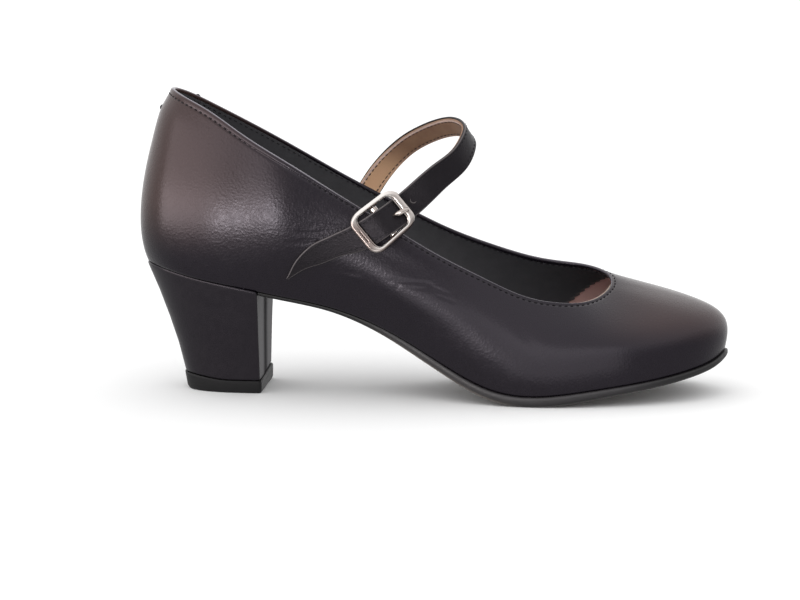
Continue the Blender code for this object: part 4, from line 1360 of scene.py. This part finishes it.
def punch(obj, axes):
    """Cuts the strap's holes through a layer."""
    cutters = []
    for place in HOLE_PLACES:
        across, out = hole_place(place)
        line = np.array([axes.at(place, across, out + reach) for reach in (-CUT_REACH, CUT_REACH)])
        normals = np.array([axes.along, axes.along])
        shape = tube(line, normals, np.full(2, HOLE_RADIUS), sides=20)
        cutters.append(linked("strap_hole", mesh_of("strap_hole", shape)))
        cut = obj.modifiers.new("hole", "BOOLEAN")
        cut.operation = "DIFFERENCE"
        cut.solver = "EXACT"
        cut.object = cutters[-1]
    bpy.context.view_layer.update()
    shown = obj.evaluated_get(bpy.context.evaluated_depsgraph_get())
    cut_mesh = bpy.data.meshes.new_from_object(shown)
    obj.modifiers.clear()
    obj.data = cut_mesh
    for cutter in cutters:
        bpy.data.objects.remove(cutter)


def hole_rims(axes, finish):
    """The turned-up lower rims of the two open holes, painted pale as highlights."""
    turns = np.radians(np.linspace(*RIM_TURNS, 24))
    radii = RIM_THICKNESS * np.sqrt(np.sin(np.linspace(0.02, math.pi - 0.02, len(turns))))
    shapes = []
    for place in (HOLE_PLACES[0], HOLE_PLACES[2]):
        across, out = hole_place(place)
        rounds = [(RIM_RADIUS * math.cos(turn), RIM_RADIUS * math.sin(turn)) for turn in turns]
        line = [axes.at(place + ahead, across + aside, out + STRAP_THICKNESS / 2) for ahead, aside in rounds]
        shapes.append(tube(line, np.tile(axes.out, (len(turns), 1)), radii))
    piece("strap_hole_rims", together(shapes), finish, "strap_leather", edge=1.0)


def strap_pieces(axes, leather, lining, thread):
    """The strap's leather with highlights painted along its edges, its lining with a pale upper edge, and
    its stitches.
    """
    route = StrapRoute(axes, STRAP_RINGS)
    half = STRAP_THICKNESS / 2
    flat, low_end = len(FLAT_PARTS), len(FLAT_PARTS) + 2 * ROUND_STEPS
    outer_end, inner_start = STRAP_LAYERS_MEET
    outer_round, inner_round = STRAP_ROUNDINGS
    rings = route.layer(-half, outer_end, 0.0, outer_round)
    # painted highlight on the leather's upper edge, fainter on its lower edge
    edge = np.zeros(rings.shape[1])
    edge[-3:] = 1.0
    edge[flat + 1:flat + 3] = LOW_EDGE_HIGHLIGHT
    paints = {"edge": np.tile(edge, len(rings))}
    strap = piece("strap_leather", rod(rings), leather, "strap_leather", "instep_strap", sharp=60, **paints)
    punch(strap, axes)
    rings = route.layer(inner_start, half, LINING_INSET, inner_round)
    edge = np.zeros(rings.shape[1])
    edge[low_end - 1:low_end + 2] = LINING_LOW_EDGE
    edge[low_end + flat - 2:low_end + flat + 1] = 1.0
    # painted highlight on the lining, strongest at the strap's root end
    painted_highlight = 1 - ease(travel(route.centre), *STRAP_HIGHLIGHT_FADES)
    paints = {"edge": np.tile(edge, len(rings)), "painted_highlight": np.repeat(painted_highlight, rings.shape[1])}
    punch(piece("strap_lining", rod(rings), lining, "tan_lining", sharp=60, **paints), axes)
    shapes = []
    for side, reach in ((-1, route.above), (1, route.below)):
        reach = reach - STRAP_STITCH_INSET
        keep = reach > STRAP_STITCH_LEAST
        for depth, away in ((STRAP_STITCH_SINK - half, -1), (half - STRAP_STITCH_SINK, 1)):
            line = route.centre + side * reach[:, None] * route.width + depth * route.depth
            shapes += stitch_row(line[keep], away * route.depth[keep], *STRAP_STITCHES)
    piece("strap_stitches", together(shapes), thread, "thread")


def frame_loop(count):
    """Places round the frame's middle line: along, across and the heading out of the loop."""
    reach = np.array([BUCKLE_LENGTH - END_BAR_WIDTH, BUCKLE_WIDTH - RAIL_WIDTH]) / 2 - FRAME_CORNER
    corners = np.array([(1, 1), (-1, 1), (-1, -1), (1, -1)]) * reach
    parts = np.linspace(0.0, 1.0, count)
    places = []
    for number, middle in enumerate(corners):
        angles = np.radians(90.0 * (number + parts))
        headings = np.stack([np.cos(angles), np.sin(angles)], axis=1)
        places += [(*(middle + FRAME_CORNER * heading), *heading) for heading in headings]
        end = middle + FRAME_CORNER * headings[-1]
        straight = corners[(number + 1) % 4] - middle
        places += [(*(end + straight * part), *headings[-1]) for part in parts[1:-1]]
    return places


def buckle_frame(axes, finish):
    """The frame with its stepped section and the groove in the end bar by the tail, and the cross bar; shade
    is painted on the end bars, the lower rail's outer slope and the cross bar.
    """
    section, _ = closed_spline(np.array(FRAME_SECTION), knot_columns=2)
    profile = section(np.linspace(0.0, 1.0, SECTION_POINTS, endpoint=False))
    rings, dulls = [], []
    for along, across, head_along, head_across in frame_loop(CORNER_RINGS):
        # painted shade: darker on the end bars and on the lower rail's outer slope
        end_share = head_along**2
        bar_dull = end_share * (1.0 if head_along > 0 else TOE_BAR_SHADE)
        dulls.append(np.maximum(bar_dull, max(head_across, 0.0) * ease(profile[:, 0], *RAIL_SHADE_STARTS)))
        wide = RAIL_WIDTH + (END_BAR_WIDTH - RAIL_WIDTH) * end_share
        away = head_along * axes.along + head_across * axes.across
        offset = profile[:, 0] * wide / 2
        out = (profile[:, 1] + (profile[:, 2] - profile[:, 1]) * end_share) * FRAME_THICKNESS / 2
        run_out = ease(abs(across), GROOVE_HALF - GROOVE_RUN_OUT, GROOVE_HALF)
        grooved = ease(head_along, 0.98, 1.0) * (1 - run_out) * bell(offset - GROOVE_OFFSET, GROOVE_WIDTH)
        out = out - np.where(out > 0, GROOVE_DEPTH * grooved, 0.0)
        centre = axes.at(along, across * (1 + FRAME_TAPER * along), FRAME_OUT)
        rings.append(centre + offset[:, None] * away + out[:, None] * axes.out)
    loop = solid(rings, grid_faces(len(rings), len(profile), closed_rows=True)[:, ::-1])
    reach = BUCKLE_WIDTH / 2 - RAIL_WIDTH / 2
    route = [(-reach, FRAME_OUT), (-reach, BAR_OUT + BAR_BEND), (-reach + BAR_BEND, BAR_OUT)]
    route += [(-across, out) for across, out in reversed(route)]
    line = open_spline([axes.at(0.0, *place) for place in route], BAR_RINGS)
    normals = np.tile(axes.along, (BAR_RINGS, 1))
    bar = tube(line, normals, np.full(BAR_RINGS, BAR_RADIUS), sides=16)
    dull = np.concatenate([np.ravel(dulls), np.ones(len(bar[0]))])
    shape = together([loop, bar])
    piece("buckle_frame_metal", shape, finish, "buckle_metal", "buckle_frame", sharp=50, dull=dull)


def buckle_prong(axes, finish):
    """The pin and the eye that holds it to the bar."""
    line = open_spline([axes.at(row.along, row.across, row.out) for row in PRONG_ROUTE], PRONG_RINGS)
    parts = np.linspace(0.0, 1.0, PRONG_RINGS)
    swell = PRONG_SWELL * ease(parts, *PRONG_SWELLS)
    radii = PRONG_RADIUS * (1 + swell - PRONG_TAPER * ease(parts, *PRONG_TAPERS))
    pin = tube(line, np.tile(axes.across, (PRONG_RINGS, 1)), radii, sides=14)
    turns = np.linspace(0.0, 2 * math.pi, 28, endpoint=False)
    inner, outer = BAR_RADIUS + GAP, BAR_RADIUS + GAP + CLIP_SHEET
    rings = []
    for across, radius in ((EYE_START, inner), (EYE_START, outer), (EYE_END, outer), (EYE_END, inner)):
        rings.append([axes.at(radius * math.cos(a), across, BAR_OUT + radius * math.sin(a)) for a in turns])
    eye = solid(rings, grid_faces(4, len(turns), closed_rows=True))
    piece("buckle_prong_metal", together([pin, eye]), finish, "buckle_metal", "buckle_prong", sharp=40)


# The stage


def softbox(row):
    """A flat light that faces its target."""
    data = bpy.data.lights.new(row.name, "AREA")
    data.shape = "RECTANGLE"
    data.size, data.size_y = row.size
    data.energy = row.radiance * math.pi * row.size[0] * row.size[1]
    data.color = row.colour
    lamp = linked(row.name, data)
    lamp.location = row.place
    lamp.rotation_euler = (Vector(row.target) - Vector(row.place)).to_track_quat("-Z", "Y").to_euler()
    lamp.visible_camera = False
    lamp.visible_diffuse = False


def dome():
    """Even light from all round, brighter from above and from the backdrop behind the shoe."""
    world = bpy.data.worlds.new("studio")
    bpy.context.scene.world = world
    world.use_nodes = True
    tree = world.node_tree
    place = add(tree, "ShaderNodeTexCoord", {}).outputs["Generated"]
    parts = add(tree, "ShaderNodeSeparateXYZ", {"Vector": place}).outputs
    behind = spread(tree, parts["Y"], 0.0, 1.0, 0.0, BACKDROP_SHARE)
    height = calculated(tree, "ADD", parts["Z"], behind)
    strength = spread(tree, height, *DOME_HEIGHTS, *DOME_STRENGTHS)
    tree.links.new(strength, tree.nodes["Background"].inputs["Strength"])
    tree.nodes["Background"].inputs["Color"].default_value = (*WHITE, 1.0)


def floor_plane():
    """The pale floor, which the leather doesn't mirror."""
    corners = [(x * FLOOR_REACH, y * FLOOR_REACH, 0.0) for x, y in ((-1, -1), (1, -1), (1, 1), (-1, 1))]
    mesh = bpy.data.meshes.new("floor")
    mesh.from_pydata(corners, [], [(0, 1, 2, 3)])
    floor = linked("floor", mesh)
    made, _, _ = new_material("floor", base_color=FLOOR_COLOUR, roughness=0.9, specular_ior_level=0.0)
    mesh.materials.append(made)
    floor.visible_glossy = False


def camera():
    data = bpy.data.cameras.new("camera")
    data.sensor_width = SENSOR_WIDTH
    data.lens = FOCAL_PIXELS * SENSOR_WIDTH / IMAGE_WIDTH
    data.shift_x = (IMAGE_WIDTH / 2 - TARGET_PIXEL[0]) / IMAGE_WIDTH
    data.shift_y = (TARGET_PIXEL[1] - IMAGE_HEIGHT / 2) / IMAGE_WIDTH
    azimuth, elevation = math.radians(CAMERA_AZIMUTH), math.radians(CAMERA_ELEVATION)
    level = math.cos(elevation)
    back = Vector((math.sin(azimuth) * level, -math.cos(azimuth) * level, math.sin(elevation)))
    eye = linked("camera", data)
    eye.location = Vector(CAMERA_TARGET) + back * CAMERA_DISTANCE
    eye.rotation_euler = (-back).to_track_quat("-Z", "Y").to_euler()
    bpy.context.scene.camera = eye
    bpy.context.scene.view_settings.view_transform = "Standard"


def main():
    frame_metal = metal_finish("buckle_metal", (0.74, 0.70, 0.67), (0.84, 0.80, 0.77))
    # painted shade: a darker copy of the buckle metal, for the prong and the clip
    shaded_buckle_metal = metal_finish("shaded_buckle_metal", (0.38, 0.335, 0.315), (0.48, 0.435, 0.41))
    thread = thread_finish()
    black_lining = black_lining_finish()
    # the tan lining is painted paler than its own tan, standing in for light inside the shoe
    tan = tan_lining_finish("tan_lining", (0.86, 0.50, 0.45), (0.95, 0.60, 0.54), (0.34, 0.265, 0.21))
    strap_tan = tan_lining_finish(
        "strap_lining", (0.20, 0.100, 0.066), (0.40, 0.235, 0.140), (0.85, 0.62, 0.54)
    )
    upper_leather(upper_finish())
    quarter_lining(black_lining)
    vamp_lining(tan)
    raw_edge(tan)
    topline_stitches(thread)
    thread_ends(thread)
    insole_sock(black_lining)
    outsole(sole_finish())
    heel_cover(heel_finish())
    top_lift(rubber_finish())
    axes = BuckleAxes()
    strap = strap_finish()
    strap_pieces(axes, strap, strap_tan, thread)
    hole_rims(axes, strap)
    buckle_frame(axes, frame_metal)
    buckle_prong(axes, shaded_buckle_metal)
    for name, finish in (("buckle_clip", shaded_buckle_metal), ("buckle_chape", elastic_finish())):
        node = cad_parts[name]
        node.data.materials.clear()
        node.data.materials.append(finish)
    floor_plane()
    dome()
    for row in SOFTBOXES:
        softbox(row)
    camera()


main()
